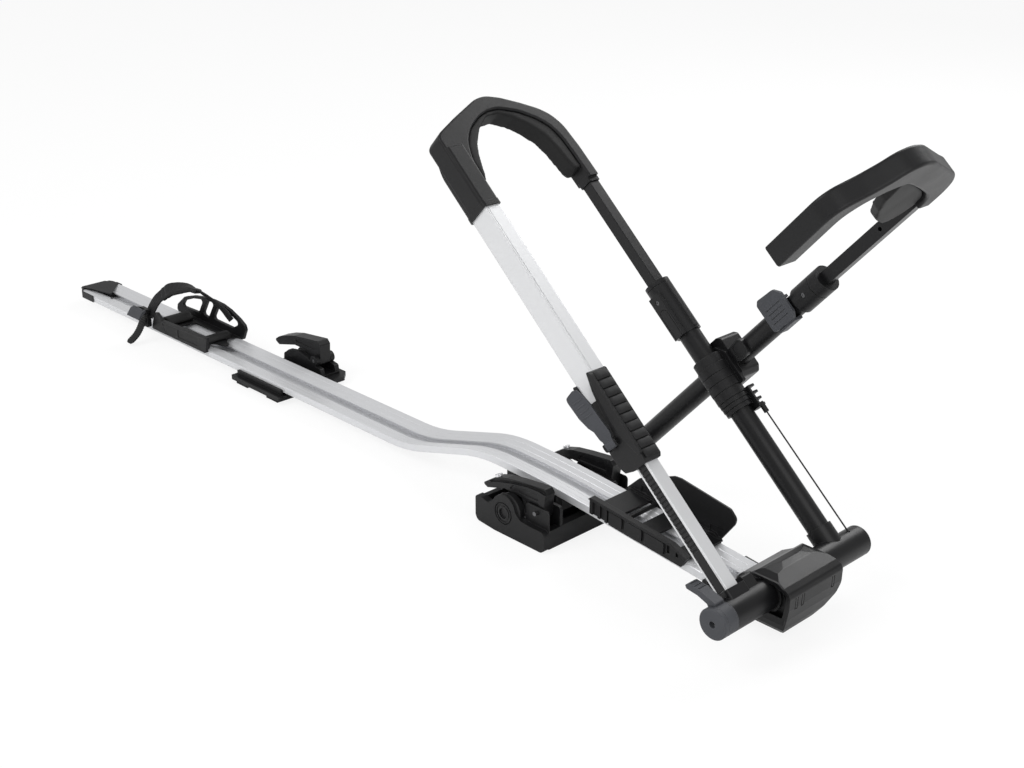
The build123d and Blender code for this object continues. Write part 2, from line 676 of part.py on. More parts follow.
def tray():
    """Bent extrusion with its slot, two chambers and grooves."""
    right = cut_grooves(1)
    right += [(tray_half, -tray_side), (keel_half, -tray_side), (keel_foot, -keel_drop)]
    left = [(-y, z) for y, z in right][::-1]
    cavity = [(-slot_half, -slot_drop - slot_lip), (-cavity_half, -slot_drop - slot_lip),
              (-cavity_half, -cavity_floor), (cavity_half, -cavity_floor),
              (cavity_half, -slot_drop - slot_lip), (slot_half, -slot_drop - slot_lip)]
    rise = slot_drop / (tray_half - slot_half)
    skin = tray_wall * math.sqrt(1 + rise * rise) + groove_deep
    chamber = [(chamber_inner, -slot_drop + rise * (chamber_inner - slot_half) - skin),
               (chamber_outer, -slot_drop + rise * (chamber_outer - slot_half) - skin),
               (chamber_outer, -tray_side + tray_wall), (chamber_inner, -tray_side + tray_wall)]
    other = [(-y, z) for y, z in chamber]
    lift = [(y, z + tray_level) for y, z in right + left + cavity]
    face = outline([spot(p, "X", tray_rear) for p in lift])
    for room in (chamber, other):
        hole = outline([spot((y, z + tray_level), "X", tray_rear) for y, z in room])
        face = face - hole
    ends = [(tray_rear, tray_level)] + tray_bends + [tray_front]
    corners = [Vector(x, 0, z) for x, z in ends]
    path = []
    start = corners[0]
    for k in range(1, len(corners) - 1):
        here = corners[k]
        back = (corners[k - 1] - here).normalized()
        ahead = (corners[k + 1] - here).normalized()
        half = math.radians(back.get_angle(ahead)) / 2
        reach = tray_bend_radii[k - 1] / math.tan(half)
        aim = (back + ahead).normalized()
        middle = here + aim * (tray_bend_radii[k - 1] / math.sin(half) - tray_bend_radii[k - 1])
        path.append(Edge.make_line(start, here + back * reach))
        path.append(Edge.make_three_point_arc(here + back * reach, middle, here + ahead * reach))
        start = here + ahead * reach
    path.append(Edge.make_line(start, corners[-1]))
    body = sweep(face, path=Wire(path))
    for side in (-1, 1):
        inner = side * (tray_half - tray_corner_y)
        outer = side * (tray_half + air)
        bend = tray_rear + tray_corner_x
        notch = [(tray_rear - air, inner), (tray_rear, inner), (bend, side * tray_half), (bend, outer), (tray_rear - air, outer)]
        body -= prism(notch, "Z", tray_level - keel_drop - air, tray_level + air)
    body -= rod(cap_screw_radius + seat_fit, (cap_screw_x, cap_screw_y, tray_level - slot_drop - slot_lip - air),
                (cap_screw_x, cap_screw_y, tray_level))
    for x in bracket_screw_xs:
        z = tray_line(x) - bracket_screw_drop
        body -= turned_y(bracket_screw_radius + seat_fit, -tray_half - air, tray_half + air, x, z)
    return body


def tray_line(x, drop=0):
    """Height of the line that runs a given depth under the tray's top edge."""
    points = [Vector(a, b) for a, b in [(tray_rear, tray_level)] + tray_bends + [tray_front]]
    for k in range(1, len(points) - 1):
        here = points[k]
        back = (points[k - 1] - here).normalized()
        ahead = (points[k + 1] - here).normalized()
        half = math.radians(back.get_angle(ahead)) / 2
        radius = tray_bend_radii[k - 1]
        middle = here + (back + ahead).normalized() * (radius / math.sin(half))
        rise = 1 if middle.Y < here.Y else -1
        reach = radius / math.tan(half)
        start = here + back * reach
        end = here + ahead * reach
        if start.X <= x <= end.X:
            arc = radius - rise * drop
            return middle.Y + rise * math.sqrt(arc * arc - (x - middle.X) * (x - middle.X))
        if x < start.X:
            return here.Y + back.Y / back.X * (x - here.X) - drop / abs(back.X)
    last = (points[-1] - points[-2]).normalized()
    return points[-1].Y + last.Y / last.X * (x - points[-1].X) - drop / last.X


def rear_end_cap():
    """Plug and rim that close the rear end of the tray."""
    rise = slot_drop / (tray_half - slot_half)
    top = tray_level - cap_top_drop
    flat = tray_half - cap_top_drop / rise - cap_rim
    low = tray_level - slot_drop - slot_lip + seat_fit * 2
    mouth = slot_half - seat_fit
    base = tray_level - slot_drop + seat_fit
    fill = [(-flat, top), (flat, top), (mouth, base), (mouth, low), (-mouth, low), (-mouth, base)]
    wedge = prism(fill, "X", tray_rear, cap_near_end + tray_corner_x)
    wedge &= prism(cap_wedge, "Z", tray_level - keel_drop, tray_level)
    rear = tray_rear - cap_plate
    out_y = tray_half + cap_rim
    in_y = tray_half + seat_fit
    bend = tray_rear + tray_corner_x
    shoulder = tray_half - tray_corner_y
    rim = [(cap_near_end, -out_y), (bend - cap_rim, -out_y), (rear, -shoulder - cap_rim), (rear, shoulder + cap_rim),
           (bend - cap_rim, out_y), (cap_far_end, out_y), (cap_far_end, in_y), (bend, in_y),
           (tray_rear - seat_fit, shoulder), (tray_rear - seat_fit, -shoulder), (bend, -in_y), (cap_near_end, -in_y)]
    band = prism(rim, "Z", tray_level - cap_rim_drop, tray_level + cap_over)
    corners = [(tray_rear - seat_fit, -shoulder), (bend, -in_y), (bend, in_y), (tray_rear - seat_fit, shoulder)]
    inside = [(cap_near_end + tray_half, -flat), (cap_near_end + tray_half, flat)]
    wedge &= prism(corners + inside[::-1], "Z", tray_level - keel_drop, tray_level)
    plug_high = tray_level - slot_drop - slot_lip - seat_fit
    plug_low = tray_level - cavity_floor + seat_fit
    reach = cavity_half - seat_fit
    plug = block((rear + cap_rim, cap_plug_end), (-reach, reach), (plug_low, plug_high))
    neck = block((rear + cap_rim, cap_near_end), (-mouth, mouth), (plug_low, top - slot_drop + cap_top_drop))
    tail = block((rear, tray_rear - seat_fit), (-shoulder, shoulder), (tray_level - keel_drop, tray_level))
    body = wedge + band + plug + neck + tail
    body -= rod(cap_screw_radius + seat_fit, (cap_screw_x, cap_screw_y, plug_low - air), (cap_screw_x, cap_screw_y, tray_level))
    return body


def cap_screw():
    """Small screw through the tray's slope into the plug of the cap."""
    top = tray_level - slot_drop + slot_lip
    head = rod(cap_screw_head, (cap_screw_x, cap_screw_y, top - cap_screw_sink), (cap_screw_x, cap_screw_y, top))
    shank = rod(cap_screw_radius, (cap_screw_x, cap_screw_y, top - cap_screw_long), (cap_screw_x, cap_screw_y, top))
    socket = rod(cap_screw_sink, (cap_screw_x, cap_screw_y, top - cap_screw_sink / 2), (cap_screw_x, cap_screw_y, top))
    return head + shank - socket


def front_foot_housing():
    """Moulded foot with two side walls, boss rings, lever bays and a saddle for the tray."""
    side = foot_side_top + [(foot_front, foot_front_top - foot_front_cut), (foot_front, foot_low)]
    side += foot_rear_low[::-1]
    wall = prism(side, "Y", foot_wall_inner, foot_half, 2 * foot_front_cut)
    walls = wall + mirrored(wall)
    base = block((foot_rear + foot_rib_thick, foot_front - foot_rib_thick), (-foot_half + foot_rib_thick,
                 foot_half - foot_rib_thick), (foot_seat, foot_floor))
    rear = block((foot_rear, foot_rear + foot_rear_wall), (-foot_wall_inner - air, foot_wall_inner + air),
                 (foot_seat, foot_side_top[2][1]))
    front = block((foot_front - foot_front_wall, foot_front), (-foot_wall_inner - air, foot_wall_inner + air),
                  (foot_seat, foot_front_top))
    body = walls + base + rear + front
    for near, far in foot_saddle_ribs:
        rib = [(near, foot_floor - air), (far, foot_floor - air)]
        rib += [(x, tray_line(x, tray_side + seat_fit)) for x in (far, near)]
        for low in (foot_saddle_inner, -foot_saddle_outer):
            body += prism(rib, "Y", low, low + foot_saddle_outer - foot_saddle_inner)
        body += block((near, near + foot_rib_thick), (-foot_wall_inner - air, foot_wall_inner + air),
                      (foot_floor - air, foot_floor + foot_wall))
    pivot_x, pivot_z = lever_pivot
    ears = Part()
    for y in (lever_inner - air - foot_ear_thick, lever_outer + lever_pin_gap):
        thick = foot_ear_thick if y < lever_inner else foot_wall_inner + air - y
        if thick > air:
            ears += block((foot_ear_rear, foot_front - air), (y, y + thick), (foot_floor - air, foot_ear_top),
                          foot_ear_thick)
    ears -= turned_y(lever_pin_radius + seat_fit, 0, foot_half + air, pivot_x, pivot_z)
    hood_x, hood_z = foot_hood_center
    hood = turned_y(foot_hood_radius, foot_wall_inner - air, foot_half - foot_lip_high, hood_x, hood_z)
    hood &= block((foot_rear, foot_front), (0, foot_half), (foot_floor, foot_half))
    ears += hood
    body += ears + mirrored(ears)
    body -= lever_room()
    body -= mirrored(lever_room())
    boss_x, boss_z = boss_center
    for side_sign in (-1, 1):
        outer = side_sign * foot_half
        ring = turned_y(boss_outer, min(outer, outer - side_sign * boss_groove), max(outer, outer - side_sign * boss_groove), boss_x, boss_z)
        ring -= turned_y(boss_outer - boss_groove, -foot_half - air, foot_half + air, boss_x, boss_z)
        body -= ring
        deep = outer - side_sign * boss_cap_deep
        body -= turned_y(boss_inner, min(outer, deep), max(outer, deep), boss_x, boss_z)
        spot_y = side_sign * bolt_spot
        body -= rod(bolt_hole, (front_bolt_x, spot_y, foot_low - air), (front_bolt_x, spot_y, foot_floor + air))
    for near, far in pad_front:
        body -= block((near, far), (-pad_reach, pad_reach), (foot_low - air, foot_seat + seat_fit))
    return body


def lever_room():
    """Space that a front lever sweeps inside the foot."""
    pivot_x, pivot_z = lever_pivot
    room = block((foot_rear + foot_rear_wall, foot_ear_rear + foot_ear_thick), (lever_inner - air, lever_outer + lever_pin_gap),
                 (foot_floor, foot_half))
    room += block((foot_ear_rear, foot_front - foot_front_wall + air), (lever_inner - air, lever_outer + lever_pin_gap),
                  (foot_floor + foot_rib_thick, foot_half))
    sweep_radius = math.hypot(lever_side[6][0] - pivot_x, lever_side[6][1] - pivot_z) + lever_pin_gap
    room += turned_y(sweep_radius, lever_inner - air, lever_outer + lever_pin_gap, pivot_x, pivot_z) & block(
        (foot_ear_rear, foot_front + foot_wall), (0, foot_half), (foot_front_top - air, foot_half))
    return room


def front_lever():
    """Far clamp lever with side pockets, pin bore and lock bore."""
    pivot_x, pivot_z = lever_pivot
    body = prism(lever_side, "Y", lever_inner, lever_outer, lever_round)
    body -= prism(lever_shelf, "Y", lever_shelf_y, lever_outer + air, lever_round)
    for face_y, step in ((lever_inner, lever_pocket_deep), (lever_outer, -lever_pocket_deep)):
        for pocket in (lever_pocket, lever_low_pocket):
            body -= prism(pocket, "Y", min(face_y, face_y + step), max(face_y, face_y + step), lever_round / 2)
    body -= turned_y(lever_pin_radius + run_fit, lever_inner - air, lever_outer + air, pivot_x, pivot_z)
    body -= lock_seat(lock_radius + seat_fit, lock_sink, lock_high)
    return body


def lock_seat(radius, below, above):
    """Short cylinder square to the top of the lever at its lock."""
    middle = (lever_inner + lever_outer) / 2
    lean = math.radians(lock_tilt_deg)
    aim = (-math.sin(lean), 0, math.cos(lean))
    low = (lock_x - aim[0] * below, middle, lock_z - aim[2] * below)
    high = (lock_x + aim[0] * above, middle, lock_z + aim[2] * above)
    return rod(radius, low, high)


def lock_core():
    """Round lock core standing a little proud of the lever."""
    core = lock_seat(lock_radius, lock_sink, lock_high / 3)
    slot = lock_seat(lock_slot_long / 2, 0, lock_high)
    middle = (lever_inner + lever_outer) / 2
    slot &= block((lock_x - lock_radius, lock_x + lock_radius), (middle - lock_slot_wide / 2, middle + lock_slot_wide / 2),
                  (0, foot_half))
    return core - slot


def lever_pin():
    """Pin of a front lever between its two ears."""
    pivot_x, pivot_z = lever_pivot
    return turned_y(lever_pin_radius, lever_inner - air - foot_ear_thick, foot_wall_inner + foot_ear_thick, pivot_x, pivot_z)


def boss_cap():
    """Dished cap in the ring of the far side wall."""
    x, z = boss_center
    cap = turned_y(boss_inner - seat_fit, foot_half - boss_cap_deep + seat_fit, foot_half - boss_cap_out, x, z)
    cap += turned_y(boss_cap_radius - boss_groove, foot_half - boss_cap_out, foot_half - seat_fit, x, z)
    cap -= turned_y(boss_cap_dish, foot_half - boss_cap_out - boss_cap_dish_deep, foot_half, x, z)
    return cap


def slot_bolt(x, y, top, under, floor):
    """Flat headed bolt drawn up under a foot, its nut one drop above the foot's floor."""
    high = under - seat_fit
    low = high - bolt_head_thick
    head = block((x - bolt_head_long / 2, x + bolt_head_long / 2), (y - bolt_head_wide / 2, y + bolt_head_wide / 2),
                 (low, high), bolt_head_thick, "Z")
    nut = floor + bolt_lift + seat_fit
    return head + rod(bolt_radius, (x, y, low), (x, y, top)) + rod(bolt_nut_radius, (x, y, nut), (x, y, nut + bolt_nut_high))


def front_slot_bolt():
    """Far bolt of the front foot with the nut that hangs it from the lever."""
    return slot_bolt(front_bolt_x, bolt_spot, bolt_top, foot_seat, foot_floor)


def front_foot_pads():
    """Rubber strips under the front foot."""
    pads = []
    for near, far in pad_front:
        pads.append(block((near + seat_fit, far - seat_fit), (-pad_reach + seat_fit, pad_reach - seat_fit),
                          (foot_low, foot_low + pad_thick), pad_thick, "Z"))
    return joined([pad - bolt_room() for pad in pads])


def bolt_room():
    """Space kept free for the heads of the front bolts."""
    room = Part()
    for y in (-bolt_spot, bolt_spot):
        room += block((front_bolt_x - bolt_head_long, front_bolt_x + bolt_head_long), (y - bolt_head_wide, y + bolt_head_wide),
                      (foot_low - air, foot_low + pad_thick))
    return room


def rear_foot_plate():
    """Base plate with slanted corners, windows, rails that grip the tray and a lever housing."""
    low = rear_top - rear_thick
    plan = [(rear_rear, rear_near), (rear_front, rear_near), (rear_front, rear_far - rear_corner),
            (rear_front - rear_corner, rear_far), (rear_rear + rear_corner, rear_far), (rear_rear, rear_far - rear_corner)]
    body = prism(plan, "Z", low, rear_top, rear_thick / 2)
    slot_x, slot_y = rear_slot
    body -= block((slot_x - rear_slot_long / 2, slot_x + rear_slot_long / 2), (slot_y - rear_slot_wide / 2,
                  slot_y + rear_slot_wide / 2), (low - air, rear_top + air), rear_slot_wide / 3, "Z")
    for side in (-1, 1):
        inner = side * rear_rail_inner
        outer = side * rear_rail_outer
        body += block((rear_rear + rear_thick, rear_front - rear_thick), (min(inner, outer), max(inner, outer)),
                      (low, rear_rail_top))
    for y in rear_bolt_ys:
        body -= rod(bolt_hole, (rear_bolt_x, y, low - air), (rear_bolt_x, y, rear_top + air))
    for near, far in rear_pad_spans:
        body -= block((near, far), (rear_pad_near, rear_pad_far), (low - air, low + air))
    return body


def rear_foot_housing():
    """Lever housing on the far side of the rear plate."""
    body = prism(rear_house, "Y", rear_house_inner, rear_house_outer, rear_thick / 2)
    body += block((rear_house[0][0], rear_house[-1][0]), (rear_house_inner, rear_house_outer),
                  (rear_top + seat_fit, rear_floor))
    bay = block((rear_lever_side[0][0] - air, rear_house[-1][0] + air), (rear_bay_inner, rear_bay_outer),
                (rear_floor, foot_half))
    body -= bay
    body -= block((rear_lever_side[0][0], rear_front), (rear_house_inner - air, rear_house_outer + air),
                  (rear_top - rear_thick, rear_top + seat_fit))
    pivot_x, pivot_z = rear_lever_pivot
    ear = rear_thick + air
    for y in (rear_house_inner, rear_bay_outer):
        thick = rear_bay_inner - rear_house_inner if y == rear_house_inner else rear_house_outer - rear_bay_outer
        body += turned_y(ear + 2 * air, y, y + thick, pivot_x, pivot_z)
    body -= turned_y(rear_pin_radius + seat_fit, 0, foot_half + ear, pivot_x, pivot_z)
    return body - rod(bolt_hole, (rear_bolt_x, rear_bolt_ys[1], rear_top - air), (rear_bolt_x, rear_bolt_ys[1], rear_top + rear_thick))


def rear_foot_lever():
    """Clamp lever of the rear foot."""
    pivot_x, pivot_z = rear_lever_pivot
    body = prism(rear_lever_side, "Y", rear_lever_inner, rear_lever_outer, lever_round)
    for face_y, step in ((rear_lever_inner, lever_pocket_deep), (rear_lever_outer, -lever_pocket_deep)):
        body -= prism(rear_lever_pocket, "Y", min(face_y, face_y + step), max(face_y, face_y + step), lever_round / 2)
    return body - turned_y(rear_pin_radius + run_fit, rear_lever_inner - air, rear_lever_outer + air, pivot_x, pivot_z)


def rear_foot_pin():
    """Pin of the rear lever."""
    x, z = rear_lever_pivot
    return turned_y(rear_pin_radius, rear_house_inner, rear_house_outer, x, z)


def rear_foot_pads():
    """Rubber blocks between the rear plate and the load bar."""
    high = rear_top - rear_thick + air - seat_fit
    pads = []
    for near, far in rear_pad_spans:
        pads.append(block((near + seat_fit, far - seat_fit), (rear_pad_near + seat_fit, rear_pad_far - seat_fit),
                          (foot_low, high), rear_pad_thick, "Z"))
    return joined(pads)


def rear_foot_bolts():
    """Two bolts that drop from the rear foot into a load bar's slot."""
    under = rear_top - rear_thick
    far = slot_bolt(rear_bolt_x, rear_bolt_ys[1], rear_bolt_top, under, rear_floor)
    near = slot_bolt(rear_bolt_x, rear_bolt_ys[0], rear_top - air, under, rear_floor)
    near &= block((rear_rear, rear_front), (rear_near, 0), (foot_low, rear_top - air))
    return joined([near, far])


def rear_wheel_holder():
    """Open basket with a low near wall, an arched far wall with windows and a floor."""
    near = prism(holder_near_side, "Y", -holder_wall_out, -holder_wall_in, slot_lip)
    near += prism(holder_near_rim, "Y", -holder_wall_out - holder_rim_out, -holder_wall_in)
    far = prism(holder_far_side, "Y", holder_wall_in, holder_wall_out, 2 * slot_lip)
    for window in holder_windows:
        far -= prism(window, "Y", holder_wall_in - air, holder_wall_out + air, 2 * slot_lip)
    floor = [(holder_floor_rear, -holder_wall_in - air)] + holder_front_edge + [(holder_floor_rear, holder_wall_in + air)]
    base = prism(floor, "Z", holder_floor_low, holder_floor_top, 2 * slot_lip)
    base -= block(holder_window, (-holder_window_half, holder_window_half), (holder_low, 0), 3 * slot_lip, "Z")
    body = near + far + base
    body -= prism(holder_seam, "Y", -holder_wall_out, -holder_wall_out + holder_recess_deep)
    body -= prism(holder_mark, "Y", -holder_wall_out, -holder_wall_out + holder_recess_deep, slot_lip / 2)
    body += block((anchor_x[0], anchor_x[1]), (holder_wall_in, anchor_out), (anchor_z[0], anchor_z[0] + slot_lip))
    raised = [(s, z + run_fit) for s, z in strap_path]
    return body - strap_band(raised, strap_half + run_fit, strap_thick + 2 * run_fit)


def saddle_humps():
    """Two rounded rubber saddles across the floor of the holder."""
    pads = []
    for x, reach, high in saddle_spots:
        arch = [(x - reach, holder_floor_top + seat_fit), (x - reach * corner_share, holder_floor_top + high),
                (x + reach * corner_share, holder_floor_top + high), (x + reach, holder_floor_top + seat_fit)]
        pads.append(prism(arch, "Y", -saddle_half, saddle_half, high))
    return joined(pads)


def strap_frame():
    """Upright plane of the strap, its first axis along the strap's run."""
    run = Vector(strap_far[0] - strap_near[0], strap_far[1] - strap_near[1], 0).normalized()
    across = Vector(0, 0, 1).cross(run)
    return Plane(origin=(strap_near[0], strap_near[1], 0), x_dir=run, z_dir=-across)


def strap_band(path, half, thick):
    """Band that follows a path in the strap's plane."""
    shape = ribbon(path, thick)
    face = outline([Vector(s, z, 0) for s, z in shape])
    solid = extrude(face, amount=2 * half, dir=(0, 0, 1))
    return strap_frame().location * (Location((0, 0, -half)) * solid)


def wheel_strap():
    """Ladder strap from the buckle over the wheel to the far wall, with its tail."""
    body = strap_band(strap_path, strap_half, strap_thick)
    for k in range(strap_rung_count):
        share = k / strap_rung_count
        start = strap_path[1]
        end = strap_path[3]
        s = start[0] + (end[0] - start[0]) * share
        z = start[1] + (end[1] - start[1]) * share
        run = math.hypot(end[0] - start[0], end[1] - start[1])
        along = ((end[0] - start[0]) / run, (end[1] - start[1]) / run)
        step = [(s, z), (s + along[0] * strap_rung_long, z + along[1] * strap_rung_long)]
        rung = [(p[0] - along[1] * strap_rung_high, p[1] + along[0] * strap_rung_high) for p in step]
        body += strap_band(rung, strap_half - strap_rung_high, strap_thick)
    return joined([body, strap_tail()])


def strap_tail():
    """Free end of the strap below the buckle."""
    return prism(ribbon(tail_path[::-1], strap_thick), "X", tail_x[0], tail_x[1])


def strap_sleeve():
    """Padded sleeve round the crown of the strap."""
    lifted = [(s, z + (sleeve_thick - strap_thick) / 2) for s, z in sleeve_path]
    body = strap_band(lifted, sleeve_half, sleeve_thick)
    room = [(s, z + (sleeve_bore_thick - strap_thick) / 2) for s, z in strap_path]
    return body - strap_band(room, sleeve_bore_half, sleeve_bore_thick)


def buckle_body():
    """Buckle frame on the near wall with two ears and a passage for the strap."""
    y, z = buckle_lever_pivot
    body = block(buckle_x, buckle_y, buckle_z, buckle_ear / 2)
    body -= rod(buckle_room, (buckle_x[0] - air, y, z), (buckle_x[1] + air, y, z))
    for x in (buckle_x[0], buckle_x[1] - buckle_ear):
        body += block((x, x + buckle_ear), buckle_ear_y, buckle_ear_z, buckle_ear / 2, "X")
    body -= rod(buckle_pin_radius + seat_fit, (buckle_x[0] - air, y, z), (buckle_x[1] + air, y, z))
    body -= strap_band([(s, z + air / 2) for s, z in strap_path], strap_half + air, strap_thick + air)
    return body - prism(ribbon(tail_path[::-1], strap_thick), "X", tail_x[0] - seat_fit, tail_x[1] + seat_fit)


def buckle_pin():
    """Pin of the buckle lever between the buckle's ears."""
    y, z = buckle_lever_pivot
    return rod(buckle_pin_radius, (buckle_x[0], y, z), (buckle_x[1], y, z))


def buckle_lever():
    """Flared plate of the buckle lever, hinged at its top."""
    y, z = buckle_lever_pivot
    plate = prism([(y + p, z + q) for p, q in buckle_lever_plate], "X", buckle_lever_x[0], buckle_lever_x[1], air)
    gap = buckle_ear + run_fit
    knuckle = rod(buckle_knuckle_radius, (buckle_x[0] + gap, y, z), (buckle_x[1] - gap, y, z))
    for x in (buckle_x[0], buckle_x[1] - buckle_ear):
        plate -= rod(buckle_room, (x - run_fit, y, z), (x + gap, y, z))
    body = knuckle + plate
    return body - rod(buckle_pin_radius + run_fit, (buckle_x[0], y, z), (buckle_x[1], y, z))


def front_cradle():
    """Cradle with a panelled near wall, bridges over the tray and a tall leaning far wing."""
    body = prism(cradle_near, "Y", -cradle_out, -cradle_in, tray_wall)
    for near_x, far_x in cradle_panels:
        tops = [cradle_top(x) for x in (near_x, far_x)]
        high, low = cradle_panel_drop
        panel = [(near_x, tops[0] - high), (far_x, tops[1] - high), (far_x, tops[1] - low), (near_x, tops[0] - low)]
        panel = prism(panel, "Y", -cradle_panel_out, -cradle_in, cradle_panel_round)
        body += panel & prism(cradle_near, "Y", -cradle_panel_out, -cradle_in, tray_wall)
    for near_x, far_x in cradle_pockets:
        pocket = [(near_x, cradle_top(near_x) - air), (far_x, cradle_top(far_x) - air)]
        pocket += [(far_x, cradle_pocket_low), (near_x, cradle_pocket_low)]
        body -= prism(pocket, "Y", -cradle_panel_out - air, -cradle_out + cradle_pocket_deep)
    body += prism(cradle_lip, "Y", -cradle_lip_out, -cradle_in)
    wing = prism(wing_side, "Y", 0, wing_thick, wing_round)
    for x0, z0, x1, z1 in wing_recesses:
        wing -= prism([(x0, z0), (x1, z0), (x1, z1), (x0, z1)], "Y", -air, wing_recess_deep, air)
    foot = min(z for x, z in wing_side)
    leaning = Location((0, wing_root, foot), (wing_lean_deg, 0, 0))
    body += leaning * (Location((0, 0, -foot)) * wing)
    body += prism(wing_base, "Y", cheek_in, cheek_in + wing_foot, tray_wall)
    for near_x, far_x in cradle_bars:
        body += bridge(near_x, far_x)
    low = tray_line(cradle_bar_x - cradle_bar_wide) + run_fit
    across = (-cradle_in - air, wing_root + air)
    body += block((cradle_bar_x - cradle_bar_wide, cradle_bar_x), across, (low, low + cradle_bar_high), tray_wall)
    return body


def cradle_top(x):
    """Height of the near wall's upper edge at one position."""
    (x0, z0), (x1, z1) = cradle_near[1], cradle_near[2]
    (x2, z2) = cradle_near[3]
    return z0 + (z1 - z0) * (x - x0) / (x1 - x0) if x < x1 else z1 + (z2 - z1) * (x - x1) / (x2 - x1)


def bridge(near_x, far_x):
    """Flat bridge over the tray between the two walls."""
    low = [tray_line(x) + seat_fit for x in (near_x, far_x)]
    shape = [(near_x, low[0]), (far_x, low[1]), (far_x, low[1] + cradle_floor_thick), (near_x, low[0] + cradle_floor_thick)]
    return prism(shape, "Y", -cradle_in - air, wing_root + air)


def hub_bracket():
    """Two cheeks with bearings, joined below the tray and under the cover."""
    cheek = prism(cheek_side, "Y", cheek_in, cheek_out, tray_wall)
    cheek += turned_y(cheek_boss_radius, cheek_in, cheek_boss)
    body = cheek + mirrored(cheek)
    floor = [(x, tray_line(x, keel_drop + seat_fit)) for x in bracket_floor_xs] + [bracket_floor_front]
    floor += [(x, z - bracket_floor_thick) for x, z in floor[::-1]]
    body += prism(floor, "Y", -cheek_in - air, cheek_in + air)
    body += prism(bracket_wall, "Y", -cheek_in - air, cheek_in + air)
    body -= turned_y(hub_radius + run_fit, -cheek_boss - air, cheek_boss + air)
    for x in bracket_screw_xs:
        z = tray_line(x) - bracket_screw_drop
        body -= turned_y(bracket_screw_radius + seat_fit, -cheek_out - air, cheek_out + air, x, z)
    return body


def bracket_screws():
    """Button screws that hold the bracket's cheeks on the sides of the tray."""
    screws = []
    for x in bracket_screw_xs:
        z = tray_line(x) - bracket_screw_drop
        screw = turned_y(bracket_screw_radius, cheek_out - bracket_screw_deep - tray_wall, cheek_out + air, x, z)
        screw += turned_y(bracket_screw_head, cheek_out + seat_fit, cheek_out + bracket_screw_high, x, z)
        screw -= turned_y(bracket_screw_radius / 2, cheek_out + bracket_screw_high / 2, cheek_out + bracket_screw_high, x, z)
        screws += [screw, mirrored(screw)]
    return joined(screws)


def hub_cover():
    """Crowned hood over the hub, open at both sides and at the rear, with side rims and latch slots."""
    room_side = ribbon_room(cover_side, cover_thick)
    room_front = ribbon_room(cover_front, cover_thick)
    reach = cheek_boss + cover_web_out
    shell = prism(cover_side, "Y", -reach, reach, cover_round) & prism(cover_front, "X", -reach, reach, cover_round)
    room = prism(room_side, "Y", -reach, reach, cover_round) & prism(room_front, "X", -reach, reach, cover_round)
    body = shell - room
    body -= block((-reach, cover_back), (-reach, reach), (-reach, reach))
    for side in (-1, 1):
        ends = sorted((side * (cover_web_out + seat_fit), side * reach))
        body -= prism(room_side, "Y", ends[0], ends[1], cover_round)
        ends = sorted((side * cover_web_in, side * cover_web_out))
        web = prism(room_side, "Y", ends[0], ends[1], cover_round) - prism(ribbon_room(room_side, cover_web_rim), "Y", ends[0], ends[1])
        web &= block((cover_web_low[0], reach), (-reach, reach), (cover_web_low[1], reach))
        body += web & prism(cover_front, "X", -reach, reach, cover_round)
    skirt = prism(skirt_side, "Y", skirt_y[0], skirt_y[1]) & prism(skirt_plan, "Z", -reach, reach, skirt_round * 2)
    body += skirt
    for y in cover_slot_spots:
        body -= latch_slot(y)
    return body - turned_y(hub_radius + cover_gap, -reach, reach) - hub_bracket()


def ribbon_room(points, thick):
    """The same closed outline drawn in by an even thickness."""
    closed = [points[-1]] + list(points) + [points[0]]
    turn = sum(a[0] * b[1] - b[0] * a[1] for a, b in zip(closed, closed[1:]))
    shape = ribbon(closed, thick if turn < 0 else -thick)
    return shape[len(closed) + 1:-1]


def latch_slot(y):
    """U shaped line round a latch in the front face of the cover."""
    half = cover_slot_wide / 2
    low, high = cover_slot_z
    line = block((0, cover_side[7][0] + air), (y - half, y + half), (low, high))
    line -= block((-air, cover_side[7][0] + air * 2), (y - half + cover_slot_line, y + half - cover_slot_line), (low + cover_slot_line, high + air))
    inner = ribbon_room(cover_side, cover_slot_deep)
    return line - prism(inner, "Y", y - cover_slot_wide, y + cover_slot_wide)


def hub_tube():
    """Cross tube with the moulded saddles that carry both legs."""
    body = turned_y(hub_radius, tube_near, tube_far)
    half = saddle_half_leg
    body += leg_frame * block((0, saddle_low_reach), (-leg_y - half, -leg_y + half), (-saddle_wall_under, saddle_wall_under), tray_wall * 2, "X")
    body += leg_frame * prism(saddle_cheek, "Y", saddle_cheek_y[0], saddle_cheek_y[1], tray_wall * 2)
    body += leg_frame * spun([(0, 0), (0, half), (saddle_reach, half), (saddle_reach, 0)], leg_y)
    body -= turned_y(hub_bore, tube_near - air, tube_far + air)
    room = inner_half + seat_fit
    body -= leg_frame * block((inner_from - seat_fit, saddle_reach + air), (-leg_y - room, -leg_y + room), (-room, room))
    body -= leg_frame * spun([(right_from - seat_fit, 0), (right_from - seat_fit, tube_radius + seat_fit),
                              (saddle_reach + air, tube_radius + seat_fit), (saddle_reach + air, 0)], leg_y)
    t, y, n = cable_low
    body -= leg_frame * rod(cable_hole, (t - cable_inside, y, -n), (t + cable_inside * 2, y, -n))
    return body


